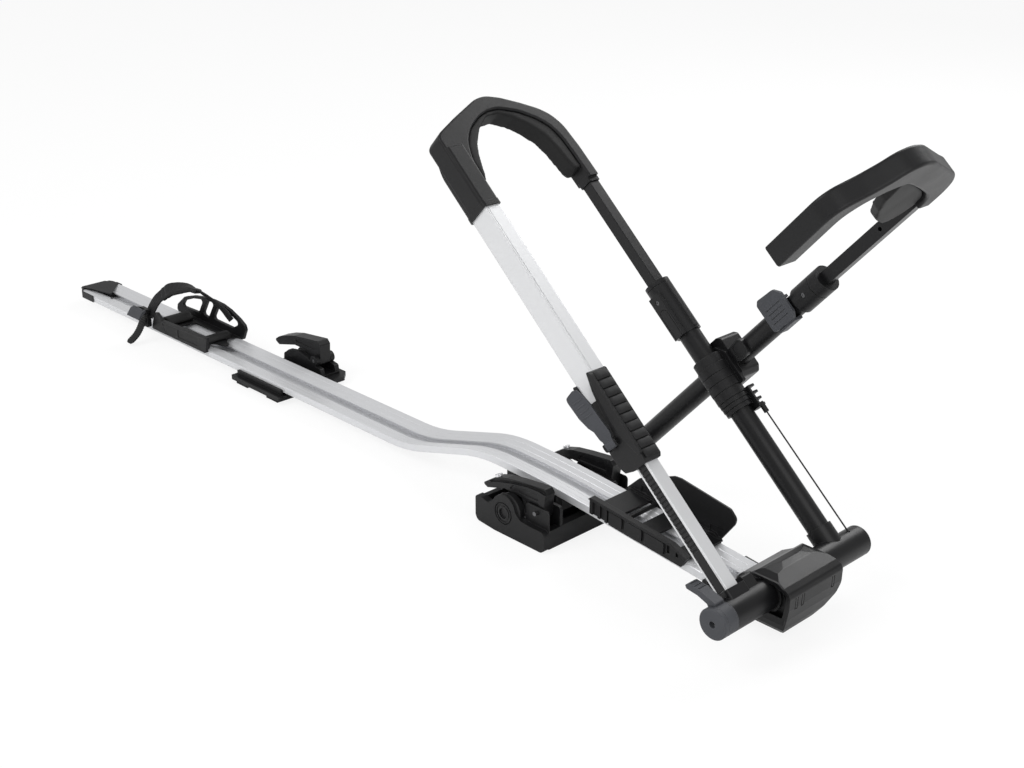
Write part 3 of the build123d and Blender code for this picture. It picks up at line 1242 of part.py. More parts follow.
def hub_knob():
    """Stepped end knob with a dark centre hole."""
    body = turned_y(hub_radius, knob_near, knob_groove[0])
    body += turned_y(knob_core, knob_groove[0], knob_groove[1])
    body += turned_y(hub_radius, knob_groove[1], tube_near - seat_fit)
    body += turned_y(hub_bore - seat_fit, tube_near - seat_fit, tube_near + plug_deep)
    body -= turned_y(knob_hole, knob_near - air, knob_near + knob_hole_deep / 2)
    body -= turned_y(knob_screw, knob_near, knob_near + knob_hole_deep)
    ends = body.edges().filter_by(GeomType.CIRCLE).sort_by(Axis.Y)
    return chamfer(ends[0], knob_chamfer) if ends[0].radius > knob_core else body


def hub_end_cap():
    """Shallow cap in the far end of the hub tube."""
    body = turned_y(hub_radius, tube_far + seat_fit, hub_end - hub_end_lip)
    body += turned_y(hub_radius - hub_end_lip, hub_end - hub_end_lip, hub_end)
    return body + turned_y(hub_bore - seat_fit, tube_far - plug_deep, tube_far + seat_fit)


def hub_lock_screw():
    """Socket screw at the bottom of the knob's hole."""
    low = knob_near + knob_hole_deep / 2
    body = turned_y(knob_screw - seat_fit, low, knob_near + knob_hole_deep - seat_fit)
    return body - turned_y(screw_socket, low - air, low + screw_socket)


def knob_lever():
    """Ring on the knob with a ribbed finger paddle."""
    body = turned_y(hub_radius, knob_ring[0], knob_ring[1])
    body += prism(knob_paddle, "Y", knob_ring[0], knob_ring[1], tray_wall)
    body -= turned_y(knob_core + run_fit, knob_ring[0] - air, knob_ring[1] + air)
    for x in knob_rib_spots:
        body -= block((x - knob_rib_wide / 2, x + knob_rib_wide / 2), (knob_ring[0] + knob_rib_deep, knob_ring[1] - knob_rib_deep),
                      (knob_rib_from + knob_rib_deep, knob_rib_to)) & lifted_band(x)
    return body


def lifted_band(x):
    """Zone just under the paddle's top at one rib groove."""
    top = max(z for px, z in knob_paddle if abs(px - x) < knob_paddle[4][0] - knob_paddle[5][0] + hub_radius)
    return block((x - knob_rib_wide, x + knob_rib_wide), knob_ring, (top - 2 * knob_rib_deep - knob_rib_wide, knob_rib_to))


def left_inner_profile():
    """Square aluminium profile with a channel for the rack."""
    half = inner_half
    low = -leg_y - half
    body = block((inner_from, inner_to), (low, -leg_y + half), (-half, half), inner_wall / 2, "X")
    body -= block((inner_from - air, inner_to + air), (low + rack_deep + inner_wall, -leg_y + half - inner_wall),
                  (-half + inner_wall, half - inner_wall))
    body -= block((rack_start - air, inner_to + air), (low - air, low + rack_deep + seat_fit), (-rack_half - seat_fit, rack_half + seat_fit))
    return leg_frame * body


def ratchet_rack():
    """Toothed strip in the channel of the inner profile."""
    low = -leg_y - inner_half
    outline_points = [(rack_start, low + rack_deep), (rack_start, low), (rack_teeth_from, low)]
    for k in range(rack_count):
        t = rack_teeth_from + k * rack_pitch
        outline_points.append((t, low + rack_tooth_deep))
        outline_points.append((t + rack_pitch * (1 - rack_tooth_share), low + rack_tooth_deep))
        outline_points.append((t + rack_pitch * (1 - rack_tooth_share), low))
        outline_points.append((t + rack_pitch, low))
    outline_points.append((rack_teeth_from + rack_count * rack_pitch, low + rack_deep))
    return leg_frame * prism(outline_points, "Z", -rack_half, rack_half)


def outer_shape(low, high, grow=0):
    """Section of the outer profile between two positions, rounder below, made larger all round."""
    y0, y1 = -leg_y - outer_half_y - grow, -leg_y + outer_half_y + grow
    over = outer_over + grow
    under = outer_under + grow
    soft = block((low, high), (y0, y1), (-over - under, under), outer_round + grow, "X")
    return soft & block((low, high), (y0, y1), (-over, under), outer_small_round + grow, "X")


def left_outer_profile():
    """Outer aluminium profile, rounded below, with a line groove along its upper face."""
    body = outer_shape(outer_from, outer_to)
    body -= outer_shape(outer_from - air, outer_to + air, -outer_wall)
    y = -leg_y - outer_half_y + outer_groove
    groove = block((outer_from - air, outer_to + air), (y - groove_half, y + groove_half), (-outer_over - air, groove_deep - outer_over))
    return leg_frame * (body - groove)


def ratchet_handle():
    """Handle housing round the lower end of the outer profile, stepped back under the release lever."""
    body = prism([(t, -n) for t, n in handle_side], "Y", handle_out, handle_in, handle_round)
    body -= prism([(t, -n) for t, n in handle_bay], "Y", handle_out - air, handle_bay_out)
    body += prism([(t, -n) for t, n in rim_side], "Y", handle_out - rim_out, handle_out + rim_thick, handle_round)
    body -= outer_shape(outer_from - seat_fit, handle_stop + air, seat_fit)
    slide = inner_half + run_fit
    body -= block((handle_side[1][0] - air, outer_from + air), (-leg_y - slide, -leg_y + slide), (-slide, slide))
    body -= block(pawl_t, (pawl_out - pawl_travel - air, -leg_y), (-pawl_half, pawl_half))
    reach = release_root + release_ear_gap / 2
    pocket = block((release_root_t[0] - air, release_root_t[1] + air), (-release_room, release_room), (-reach, reach))
    hole = release_ears() + seat_fit
    bore = rod(release_pin_radius + seat_fit, (release_pivot_t, 0, -hole), (release_pivot_t, 0, hole))
    return leg_frame * body - tilted(pocket) - tilted(bore) + release_seat()


def release_seat():
    """Two ears on the handle that carry the release lever's pin, with a web behind its root."""
    reach = release_ears()
    ears = Part()
    for low in (-reach, reach - release_ear):
        ears += block(release_root_t, (-release_root_half, release_ear_deep), (low, low + release_ear), release_root_half, "Z")
    ears += block(release_root_t, (release_room, release_ear_deep), (-reach, reach))
    ears -= rod(release_pin_radius + seat_fit, (release_pivot_t, 0, -2 * reach), (release_pivot_t, 0, 2 * reach))
    return tilted(ears) - leg_frame * inner_room()


def inner_room():
    """Space kept free in the handle for the inner profile and the outer one."""
    slide = inner_half + run_fit
    room = block((handle_side[1][0] - air, outer_from + air), (-leg_y - slide, -leg_y + slide), (-slide, slide))
    return room + outer_shape(outer_from - seat_fit, handle_stop + air, seat_fit)


def handle_grip():
    """Soft grip of separate ribs on the upper face of the handle."""
    step = (grip_to - grip_from) / grip_count
    base = handle_deck + seat_fit
    ribs = []
    for k in range(grip_count):
        t0 = grip_from + k * step
        t1 = t0 + step - grip_gap
        shape = [(t0, -base), (t1, -base), (t1, grip_lift - base - grip_high), (t0, -base - grip_high)]
        ribs.append(prism(shape, "Y", grip_near, grip_far, grip_round))
    return leg_frame * joined(ribs)


def tilted(piece):
    """Moves a piece made flat about the release lever's own centre to its slanted place."""
    y, n = release_center
    turn = Location((0, y, -n), (release_tilt_deg, 0, 0))
    return leg_frame * (turn * piece)


def release_lever():
    """Leaf shaped finger lever with four ribs near its tip, lifted a little about its hinge root."""
    body = prism(release_leaf, "Y", -release_half, release_half, release_round)
    body += block(release_neck_t, (-release_half, release_half), (-release_root, release_root))
    body += block(release_root_t, (-release_root_half, release_root_half), (-release_root, release_root), release_root_half, "Z")
    for t in release_rib_ts:
        body += block((t - release_rib_wide / 2, t + release_rib_wide / 2), (-release_half - release_rib_high, 0), release_rib_z)
    body -= rod(release_pin_radius + run_fit, (release_pivot_t, 0, -2 * release_root), (release_pivot_t, 0, 2 * release_root))
    lift = Location((release_pivot_t, 0, 0), (0, 0, -release_lift_deg)) * Location((-release_pivot_t, 0, 0))
    return tilted(lift * body)


def release_pin():
    """Pin of the release lever between two ears of the handle."""
    reach = release_ears()
    return tilted(rod(release_pin_radius, (release_pivot_t, 0, -reach), (release_pivot_t, 0, reach)))


def release_ears():
    """Outer reach of the ears that hold the release lever's pin."""
    return release_root + release_ear_gap + release_ear


def pawl():
    """Small block over the rack that locks the hoop's height."""
    low = -leg_y - inner_half - run_fit
    shape = [(pawl_t[0] + run_fit, pawl_out), (pawl_t[1] - run_fit, pawl_out), (pawl_t[1] - run_fit, low)]
    shape += [(pawl_t[1] - pawl_travel, low), (pawl_t[0] + run_fit, low - pawl_travel)]
    return leg_frame * prism(shape, "Z", -pawl_half + run_fit, pawl_half - run_fit)


def softened(body, half, radius):
    """Rounds the long edges of a flat band lying between two heights."""
    flat = [edge for edge in body.edges() if abs(abs(edge.center().Z) - half) < seat_fit]
    return fillet(flat, radius)


def hoop_head():
    """Flat band that joins the legs, deeper over the left leg."""
    ends = [(hoop_ends[0] - hoop_tail, hoop_outline_out[0][1])] + hoop_outline_out + [(hoop_ends[1] - hoop_tail, hoop_outline_out[-1][1])]
    ends += [(hoop_ends[1] - hoop_tail, hoop_outline_in[0][1])] + hoop_outline_in + [(hoop_ends[0] - hoop_tail, hoop_outline_in[-1][1])]
    body = softened(prism(ends, "Z", -hoop_half, hoop_half, hoop_round), hoop_half, hoop_edge)
    body -= block((hoop_ends[0] - 2 * hoop_tail, hoop_ends[1]), (-leg_y, 2 * leg_y), (-2 * hoop_half, 2 * hoop_half))
    body -= block((hoop_ends[0] - 2 * hoop_tail, hoop_ends[0]), (-2 * leg_y, 2 * leg_y), (-2 * hoop_half, 2 * hoop_half))
    body += outer_shape(hoop_ends[0], hoop_left_to, hoop_wall) & prism(hoop_left_end, "Y", -2 * leg_y, 0, hoop_round)
    body += outer_shape(hoop_ring_t[0], hoop_ring_t[1], hoop_wall + hoop_ring_out)
    body -= outer_shape(hoop_ends[0] - air, outer_to + seat_fit, seat_fit)
    slot = bar_half + seat_fit
    body += block(hoop_collar, (leg_y - hoop_collar_half, leg_y + hoop_collar_half), (-hoop_collar_half, hoop_collar_half), hoop_edge, "X")
    body -= block((hoop_collar[0] - air, bar_to + seat_fit), (leg_y - slot, leg_y + slot), (-slot, slot))
    return leg_frame * body


def hoop_pad():
    """Rubber pad inside the head."""
    body = prism(hoop_pad_in + hoop_pad_back, "Z", -hoop_pad_half, hoop_pad_half)
    return leg_frame * body - hoop_head()


def square_bar(low, high, y):
    """Hollow square bar along a leg or arm."""
    half = bar_half
    body = block((low, high), (y - half, y + half), (-half, half), bar_wall / 2, "X")
    core = half - bar_wall
    return body - block((low - air, high + air), (y - core, y + core), (-core, core))


def right_square_bar():
    """Telescoping bar of the right leg."""
    return leg_frame * square_bar(bar_from, bar_to, leg_y)


def right_lower_tube():
    """Round lower tube of the right leg with the hole for the arm's pivot bolt."""
    core = tube_radius - tube_wall
    tube = spun([(right_from, core), (right_from, tube_radius), (right_to, tube_radius), (right_to, core)], leg_y)
    return leg_frame * tube - arm_frame * pivot_hole(run_fit)


def telescope_sleeve(low, high, radius, step, y, tube, tube_end):
    """Sleeve with a stepped end ring, a tube bore and a square passage."""
    body = spun([(low, 0), (low, radius), (step, radius), (step, radius - coupler_ring_cut), (step + coupler_line, radius - coupler_ring_cut),
                 (step + coupler_line, radius), (high, radius), (high, 0)], y)
    return body - sleeve_room(low, high, y, tube, tube_end)


def sleeve_room(low, high, y, tube, tube_end):
    """Bore for the tube and square passage for the bar inside a sleeve."""
    bore = tube + seat_fit
    slot = bar_half + run_fit
    room = spun([(low - air, 0), (low - air, bore), (tube_end + seat_fit, bore), (tube_end + seat_fit, 0)], y)
    return room + block((low - air, high + air), (y - slot, y + slot), (-slot, slot))


def coupler_sleeve():
    """Sleeve at the top of the round leg with a ridge and a plate that carries a tongue line."""
    body = telescope_sleeve(coupler_from, coupler_to, coupler_radius, coupler_to - coupler_ring * 2, leg_y, tube_radius, right_to)
    body += block((coupler_from + coupler_ring, coupler_to - coupler_ring * 2), (leg_y - coupler_ridge_half, leg_y + coupler_ridge_half),
                  (-coupler_radius - coupler_ridge, -tube_radius - tube_wall / 2), coupler_ridge, "X")
    out = leg_y - coupler_radius - coupler_plate_out
    half = coupler_plate_half
    body += block(coupler_plate_t, (out, out + coupler_plate_deep), (-half, half), coupler_plate_out, "X")
    half = coupler_tongue_half
    tongue = block(coupler_tongue, (out - air, out + coupler_line), (-half, half), half)
    half -= coupler_line
    tongue -= block((coupler_tongue[0] - air, coupler_tongue[1] - coupler_line), (out - air, out + coupler_line), (-half, half), half)
    body -= tongue
    body -= rod(coupler_screw_radius, (coupler_screw_t, out - air, 0), (coupler_screw_t, out + coupler_plate_deep, 0))
    return leg_frame * (body - sleeve_room(coupler_from, coupler_to, leg_y, tube_radius, right_to))


def coupler_screw():
    """Recessed socket screw of the coupler."""
    low = leg_y - coupler_radius - coupler_plate_out + coupler_line
    high = low + coupler_screw_head
    head = rod(coupler_screw_radius - seat_fit, (coupler_screw_t, low, 0), (coupler_screw_t, high, 0))
    socket = rod(coupler_screw_radius / 2, (coupler_screw_t, low - air, 0), (coupler_screw_t, low + coupler_line, 0))
    return leg_frame * (head - socket)


def arm_collar():
    """Ringed collar on the right leg with fins and the flange of the arm's pivot."""
    profile = [(collar_from, 0)]
    for (t0, r0), (t1, r1) in zip(collar_rings, collar_rings[1:]):
        profile.append((t0, r0))
        profile.append((t1 - collar_groove, r0))
        profile.append((t1 - collar_groove, r0 - collar_groove))
        profile.append((t1, r0 - collar_groove))
    profile.append((collar_to, 0))
    body = spun(profile, leg_y)
    body -= block((collar_from - air, collar_to + air), (collar_flat, leg_y + pivot_t), (-pivot_t, pivot_t))
    over = (-collar_fin_over[1], -collar_fin_over[0])
    for t, end in zip(collar_fins, collar_fin_ends):
        body += block((t, t + collar_fin_thick), (collar_fin_root, end), over, collar_fin_thick, "X")
    body += block((collar_fins[0], collar_fins[-1] + collar_fin_thick), (collar_fin_root, collar_fin_root + collar_fin_thick), over)
    flange = prism([(t, -n) for t, n in collar_flange], "Y", flange_y[0], flange_y[1], collar_fin_thick)
    flange -= block((collar_from, collar_to + collar_to), (collar_flat, flange_y[1] + air), (-flange_split, flange_split))
    body += flange
    bore = tube_radius + seat_fit
    body -= spun([(collar_fins[0] - air, 0), (collar_fins[0] - air, bore), (coupler_from - air, bore), (coupler_from - air, 0)], leg_y)
    t, y, n = cable_top
    body -= rod(ferrule_radius + seat_fit, (t - air, y, -n), (ferrule_to + collar_fin_thick / 2, y, -n))
    return leg_frame * body


def cable_ferrule():
    """Small ferrule that holds the top of the release cable."""
    t, y, n = cable_top
    start = ferrule_from
    body = rod(ferrule_radius, (start, y, -n), (ferrule_to + collar_fin_thick / 2 - seat_fit, y, -n))
    return leg_frame * (body - rod(ferrule_wire, (start - air, y, -n), (t + air, y, -n)))


def release_cable():
    """Thin wire held tight beside the right leg."""
    t0, y0, n0 = cable_top
    t1, y1, n1 = cable_low
    return leg_frame * rod(cable_radius, (t1 - cable_inside / 2, y1, -n1), (t0, y0, -n0))


def arm_tube():
    """Round tube of the second arm with its closed lower end."""
    core = arm_radius - arm_wall
    body = spun([(strut_end, 0), (strut_end, arm_radius), (arm_tube_to, arm_radius), (arm_tube_to, core),
                 (strut_end + strut_cap, core), (strut_end + strut_cap, 0)], arm_y)
    return arm_frame * (body - pivot_hole(seat_fit))


def arm_knuckle():
    """Block clamped on the arm tube, with the D shaped boss at the tube's root."""
    body = prism(knuckle, "Y", knuckle_y[0], knuckle_y[1], knuckle_cut)
    boss = prism(dboss, "Y", dboss_y[0], dboss_y[1] + slot_lip, knuckle_cut)
    middle = (sum(a for a, m in dboss) / len(dboss), sum(m for a, m in dboss) / len(dboss))
    inner_share = 1 - dboss_rim / arm_radius
    hollow = [(middle[0] + (a - middle[0]) * inner_share, middle[1] + (m - middle[1]) * inner_share) for a, m in dboss]
    boss -= prism(hollow, "Y", dboss_y[0] - air, dboss_y[0] + dboss_recess, knuckle_cut)
    link = block((knuckle[4][0] - slot_lip, dboss[0][0] + dboss_rim), (knuckle_y[0], knuckle_y[0] + slot_lip),
                 (dboss[0][1], dboss[1][1]))
    body += boss + link
    bore = arm_radius + seat_fit
    body -= spun([(knuckle[1][0] - air, 0), (knuckle[1][0] - air, bore), (dboss[4][0] + air, bore), (dboss[4][0] + air, 0)], arm_y)
    outer = knuckle_y[1]
    body -= rod(pivot_head_radius + seat_fit, (0, outer - pivot_head - seat_fit, 0), (0, outer + air, 0))
    return arm_frame * (body - pivot_hole(seat_fit))


def pivot_hole(gap):
    """Cross hole for the arm's pivot bolt."""
    return rod(pivot_bolt + gap, (0, pivot_bolt_in, 0), (0, knuckle_y[1] + air, 0))


def pivot_bolt_body():
    """Bolt with a head at each end on which the arm turns against the leg."""
    inner, outer = pivot_bolt_in, knuckle_y[1]
    body = rod(pivot_bolt, (0, inner, 0), (0, outer - seat_fit, 0))
    body += rod(pivot_head_radius, (0, inner, 0), (0, inner + pivot_head, 0))
    body += rod(pivot_head_radius, (0, outer - pivot_head, 0), (0, outer - seat_fit, 0))
    return arm_frame * body


def arm_button():
    """Grey release button straddling the arm tube."""
    body = prism(button_side, "Y", button_y[0], button_y[1], button_round)
    half = button_skirt_half
    for side in (-1, 1):
        inner = side * (arm_radius + run_fit)
        outer = side * half
        body += block(button_skirt_a, (button_y[0] + button_round / 2, button_skirt), (min(inner, outer), max(inner, outer)))
    for m in button_rib_spots:
        body -= block(button_rib_a, (button_y[0] - air, button_y[0] + button_rib_deep), (m - button_rib_wide / 2, m + button_rib_wide / 2))
    return arm_frame * body


def arm_sleeve():
    """Sleeve at the end of the arm tube."""
    body = telescope_sleeve(sleeve_from, sleeve_to, sleeve_radius, sleeve_step, arm_y, arm_radius, arm_tube_to)
    body -= rod(coupler_screw_radius, (sleeve_screw_a, arm_y - sleeve_radius - air, 0),
                (sleeve_screw_a, arm_y - sleeve_radius + coupler_screw_head, 0))
    return arm_frame * body


def arm_screws():
    """Recessed socket screw of the arm sleeve and the bolt on which the arm turns."""
    low = arm_y - sleeve_radius + coupler_line
    high = arm_y - sleeve_radius + coupler_screw_head - seat_fit
    head = rod(coupler_screw_radius - seat_fit, (sleeve_screw_a, low, 0), (sleeve_screw_a, high, 0))
    socket = rod(coupler_screw_radius / 2, (sleeve_screw_a, low - air, 0), (sleeve_screw_a, low + coupler_line, 0))
    return joined([arm_frame * (head - socket), pivot_bolt_body()])


def arm_bar():
    """Telescoping bar of the second arm."""
    body = square_bar(arm_bar_from, arm_bar_to, arm_y)
    hole = rod(arm_hole_radius, (arm_hole_a, arm_y - bar_half - air, 0), (arm_hole_a, arm_y - bar_half + 2 * bar_wall, 0))
    return arm_frame * (body - hole)


def arm_head():
    """Hooked band at the end of the second arm."""
    near, far = arm_head_ends
    ends = [(near - arm_head_tail, arm_head_out[0][1])] + arm_head_out + [(far - arm_head_tail, arm_head_out[-1][1])]
    ends += [(far - arm_head_tail, arm_head_in[0][1])] + arm_head_in + [(near - arm_head_tail, arm_head_in[-1][1])]
    body = softened(prism(ends, "Z", -arm_head_half, arm_head_half, arm_head_round), arm_head_half, arm_head_edge)
    body -= block((near - 2 * arm_head_tail, far), (0, 2 * arm_y), (-2 * arm_head_half, 2 * arm_head_half))
    body -= block((near - 2 * arm_head_tail, near), (-2 * arm_y, 0), (-2 * arm_head_half, 2 * arm_head_half))
    slot = bar_half + seat_fit
    body -= block((far - air, arm_bar_to + seat_fit), (arm_y - slot, arm_y + slot), (-slot, slot))
    return arm_frame * body


def arm_inner_pad():
    """Dark web pad inside the right side of the arm's head."""
    body = prism(arm_pad, "Z", -arm_pad_half, arm_pad_half, arm_head_edge)
    slot = bar_half + seat_fit * 2
    body -= block((arm_bar_from, arm_bar_to + air), (arm_y - slot, arm_y + slot), (-slot, slot))
    return arm_frame * body - arm_head()


nodes = {
    "tray": tray,
    "rear_end_cap": rear_end_cap,
    "cap_screw": cap_screw,
    "front_foot_housing": front_foot_housing,
    "front_lever_far": front_lever,
    "front_lever_near": lambda: mirrored(front_lever()),
    "lock_core_far": lock_core,
    "lock_core_near": lambda: mirrored(lock_core()),
    "front_lever_pins": lambda: joined([lever_pin(), mirrored(lever_pin())]),
    "boss_caps": lambda: joined([boss_cap(), mirrored(boss_cap())]),
    "front_bolt_far": front_slot_bolt,
    "front_bolt_near": lambda: mirrored(front_slot_bolt()),
    "front_foot_pads": front_foot_pads,
    "rear_foot_plate": rear_foot_plate,
    "rear_foot_housing": rear_foot_housing,
    "rear_foot_lever": rear_foot_lever,
    "rear_foot_pin": rear_foot_pin,
    "rear_foot_pads": rear_foot_pads,
    "rear_foot_bolts": rear_foot_bolts,
    "rear_wheel_holder": rear_wheel_holder,
    "saddle_humps": saddle_humps,
    "wheel_strap": wheel_strap,
    "strap_sleeve": strap_sleeve,
    "buckle_body": buckle_body,
    "buckle_pin": buckle_pin,
    "buckle_lever": buckle_lever,
    "front_cradle": front_cradle,
    "hub_bracket": hub_bracket,
    "bracket_screws": bracket_screws,
    "hub_cover": hub_cover,
    "hub_tube": hub_tube,
    "hub_knob": hub_knob,
    "hub_lock_screw": hub_lock_screw,
    "hub_end_cap": hub_end_cap,
    "knob_lever": knob_lever,
    "left_inner_profile": left_inner_profile,
    "ratchet_rack": ratchet_rack,
    "left_outer_profile": left_outer_profile,
    "ratchet_handle": ratchet_handle,
    "handle_grip": handle_grip,
    "release_lever": release_lever,
    "release_pin": release_pin,
    "pawl": pawl,
    "hoop_head": hoop_head,
    "hoop_pad": hoop_pad,
    "right_square_bar": right_square_bar,
    "right_lower_tube": right_lower_tube,
    "coupler_sleeve": coupler_sleeve,
    "coupler_screw": coupler_screw,
    "arm_collar": arm_collar,
    "cable_ferrule": cable_ferrule,
    "release_cable": release_cable,
    "arm_tube": arm_tube,
    "arm_knuckle": arm_knuckle,
    "arm_button": arm_button,
    "arm_sleeve": arm_sleeve,
    "arm_screws": arm_screws,
    "arm_bar": arm_bar,
    "arm_head": arm_head,
    "arm_inner_pad": arm_inner_pad,
}

home = Location((hub_x, 0, hub_z))
for name, build in nodes.items():
    export_step(home * build(), f"parts/{name}.step")
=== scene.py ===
import json
import math

import bpy
from mathutils import Matrix, Vector


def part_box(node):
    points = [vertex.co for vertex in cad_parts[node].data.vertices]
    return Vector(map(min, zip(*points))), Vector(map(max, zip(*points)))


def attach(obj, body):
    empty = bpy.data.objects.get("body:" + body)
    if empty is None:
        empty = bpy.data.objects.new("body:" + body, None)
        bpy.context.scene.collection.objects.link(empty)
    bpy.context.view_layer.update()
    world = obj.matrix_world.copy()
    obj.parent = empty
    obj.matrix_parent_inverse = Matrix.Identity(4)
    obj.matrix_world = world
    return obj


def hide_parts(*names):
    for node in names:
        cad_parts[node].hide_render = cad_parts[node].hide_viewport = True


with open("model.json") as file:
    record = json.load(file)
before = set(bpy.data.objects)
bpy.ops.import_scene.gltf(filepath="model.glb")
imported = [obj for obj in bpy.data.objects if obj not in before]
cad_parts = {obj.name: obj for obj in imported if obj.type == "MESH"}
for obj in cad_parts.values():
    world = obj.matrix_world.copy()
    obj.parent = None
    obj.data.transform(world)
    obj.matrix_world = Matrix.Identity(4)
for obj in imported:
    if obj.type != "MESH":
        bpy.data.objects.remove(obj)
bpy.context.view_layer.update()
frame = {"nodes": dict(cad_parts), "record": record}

# The frame's origin is on the load bar plane; the hub axis lies here, in metres.
hub = Vector((0.383, 0, 0.062))
leg_rest = math.radians(138)
leg_along = Vector((math.cos(leg_rest), 0, math.sin(leg_rest)))
leg_over = Vector((math.sin(leg_rest), 0, -math.cos(leg_rest)))


def link(tree, start, end):
    """Joins two sockets."""
    tree.links.new(start, end)


def new_group(name, inputs, outputs):
    """Empty shader group with named sockets and their defaults."""
    group = bpy.data.node_groups.new(name, "ShaderNodeTree")
    for label, kind, value in inputs:
        socket = group.interface.new_socket(name=label, in_out="INPUT", socket_type=kind)
        socket.default_value = value
    for label, kind in outputs:
        group.interface.new_socket(name=label, in_out="OUTPUT", socket_type=kind)
    return group, group.nodes.new("NodeGroupInput"), group.nodes.new("NodeGroupOutput")


def math_node(tree, kind, first, second=None, third=None):
    """Math node fed by sockets or plain numbers."""
    node = tree.nodes.new("ShaderNodeMath")
    node.operation = kind
    for k, value in enumerate((first, second, third)):
        if value is None:
            continue
        if isinstance(value, (int, float)):
            node.inputs[k].default_value = value
        else:
            link(tree, value, node.inputs[k])
    return node.outputs[0]


def moulded_grain():
    """Fine spark eroded grain with soft broad unevenness."""
    group, start, end = new_group(
        "moulded_grain",
        [("Grain", "NodeSocketFloat", 2200.0), ("Cloud", "NodeSocketFloat", 30.0)],
        [("Height", "NodeSocketFloat"), ("Tone", "NodeSocketFloat")],
    )
    place = group.nodes.new("ShaderNodeTexCoord").outputs["Object"]
    fine = group.nodes.new("ShaderNodeTexNoise")
    fine.inputs["Detail"].default_value = 3.0
    link(group, place, fine.inputs["Vector"])
    link(group, start.outputs["Grain"], fine.inputs["Scale"])
    broad = group.nodes.new("ShaderNodeTexNoise")
    broad.inputs["Detail"].default_value = 4.0
    link(group, place, broad.inputs["Vector"])
    link(group, start.outputs["Cloud"], broad.inputs["Scale"])
    link(group, fine.outputs["Fac"], end.inputs["Height"])
    link(group, broad.outputs["Fac"], end.inputs["Tone"])
    return group


def highlight_edges():
    """Mask of the edges, where a highlight is painted into the colour."""
    group, start, end = new_group(
        "highlight_edges",
        [("Width", "NodeSocketFloat", 0.0012), ("Breakup", "NodeSocketFloat", 260.0)],
        [("Mask", "NodeSocketFloat")],
    )
    place = group.nodes.new("ShaderNodeTexCoord").outputs["Object"]
    bevel = group.nodes.new("ShaderNodeBevel")
    bevel.samples = 4
    link(group, start.outputs["Width"], bevel.inputs["Radius"])
    flat = group.nodes.new("ShaderNodeNewGeometry")
    dot = group.nodes.new("ShaderNodeVectorMath")
    dot.operation = "DOT_PRODUCT"
    link(group, bevel.outputs["Normal"], dot.inputs[0])
    link(group, flat.outputs["Normal"], dot.inputs[1])
    # Noise breaks the painted edge highlight into patches.
    edge_highlight = group.nodes.new("ShaderNodeTexNoise")
    link(group, place, edge_highlight.inputs["Vector"])
    link(group, start.outputs["Breakup"], edge_highlight.inputs["Scale"])
    turn = math_node(group, "SUBTRACT", 1.0, dot.outputs["Value"])
    lift = math_node(group, "MULTIPLY", turn, 5.0)
    patch = math_node(group, "MULTIPLY", lift, edge_highlight.outputs["Fac"])
    clip = math_node(group, "MINIMUM", patch, 1.0)
    link(group, clip, end.inputs["Mask"])
    return group


def drawn_lines():
    """Long faint die lines of an extruded profile, at a set angle about Y."""
    group, start, end = new_group(
        "drawn_lines",
        [("Angle", "NodeSocketFloat", 0.0), ("Fineness", "NodeSocketFloat", 1400.0)],
        [("Height", "NodeSocketFloat"), ("Tone", "NodeSocketFloat")],
    )
    place = group.nodes.new("ShaderNodeTexCoord").outputs["Object"]
    turn = group.nodes.new("ShaderNodeVectorRotate")
    turn.rotation_type = "Y_AXIS"
    link(group, place, turn.inputs["Vector"])
    link(group, start.outputs["Angle"], turn.inputs["Angle"])
    stretch = group.nodes.new("ShaderNodeVectorMath")
    stretch.operation = "MULTIPLY"
    stretch.inputs[1].default_value = (0.006, 1.0, 1.0)
    link(group, turn.outputs["Vector"], stretch.inputs[0])
    lines = group.nodes.new("ShaderNodeTexNoise")
    lines.inputs["Detail"].default_value = 2.0
    link(group, stretch.outputs["Vector"], lines.inputs["Vector"])
    link(group, start.outputs["Fineness"], lines.inputs["Scale"])
    link(group, lines.outputs["Fac"], end.inputs["Height"])
    link(group, lines.outputs["Fac"], end.inputs["Tone"])
    return group


GRAIN = moulded_grain()
HIGHLIGHT_EDGES = highlight_edges()
LINES = drawn_lines()


def place_group(tree, group, **values):
    """Puts a shared group in a material with its own values."""
    node = tree.nodes.new("ShaderNodeGroup")
    node.node_tree = group
    for label, value in values.items():
        node.inputs[label].default_value = value
    return node


def between(tree, factor, low, high):
    """Colour between two colours by a mask."""
    mix = tree.nodes.new("ShaderNodeMix")
    mix.data_type = "RGBA"
    mix.inputs["A"].default_value = (*low, 1)
    mix.inputs["B"].default_value = (*high, 1)
    link(tree, factor, mix.inputs["Factor"])
    return mix.outputs["Result"]


def span(tree, factor, low, high):
    """Value from low to high by a mask."""
    node = tree.nodes.new("ShaderNodeMapRange")
    node.inputs["To Min"].default_value = low
    node.inputs["To Max"].default_value = high
    link(tree, factor, node.inputs["Value"])
    return node.outputs["Result"]


def blank(name, **shader_values):
    """Material with its shader, whose steady values are set on the shader itself."""
    material = bpy.data.materials.new(name)
    material.use_nodes = True
    shader = material.node_tree.nodes["Principled BSDF"]
    for label, value in shader_values.items():
        shader.inputs[label.replace("_", " ")].default_value = value
    return material, material.node_tree, shader


def soften(tree, shader, height, distance, strength, radius):
    """Bump over rounded edges, feeding the shader's normal."""
    bevel = tree.nodes.new("ShaderNodeBevel")
    bevel.samples = 6
    bevel.inputs["Radius"].default_value = radius
    bump = tree.nodes.new("ShaderNodeBump")
    bump.inputs["Distance"].default_value = distance
    bump.inputs["Strength"].default_value = strength
    link(tree, height, bump.inputs["Height"])
    link(tree, bevel.outputs["Normal"], bump.inputs["Normal"])
    link(tree, bump.outputs["Normal"], shader.inputs["Normal"])


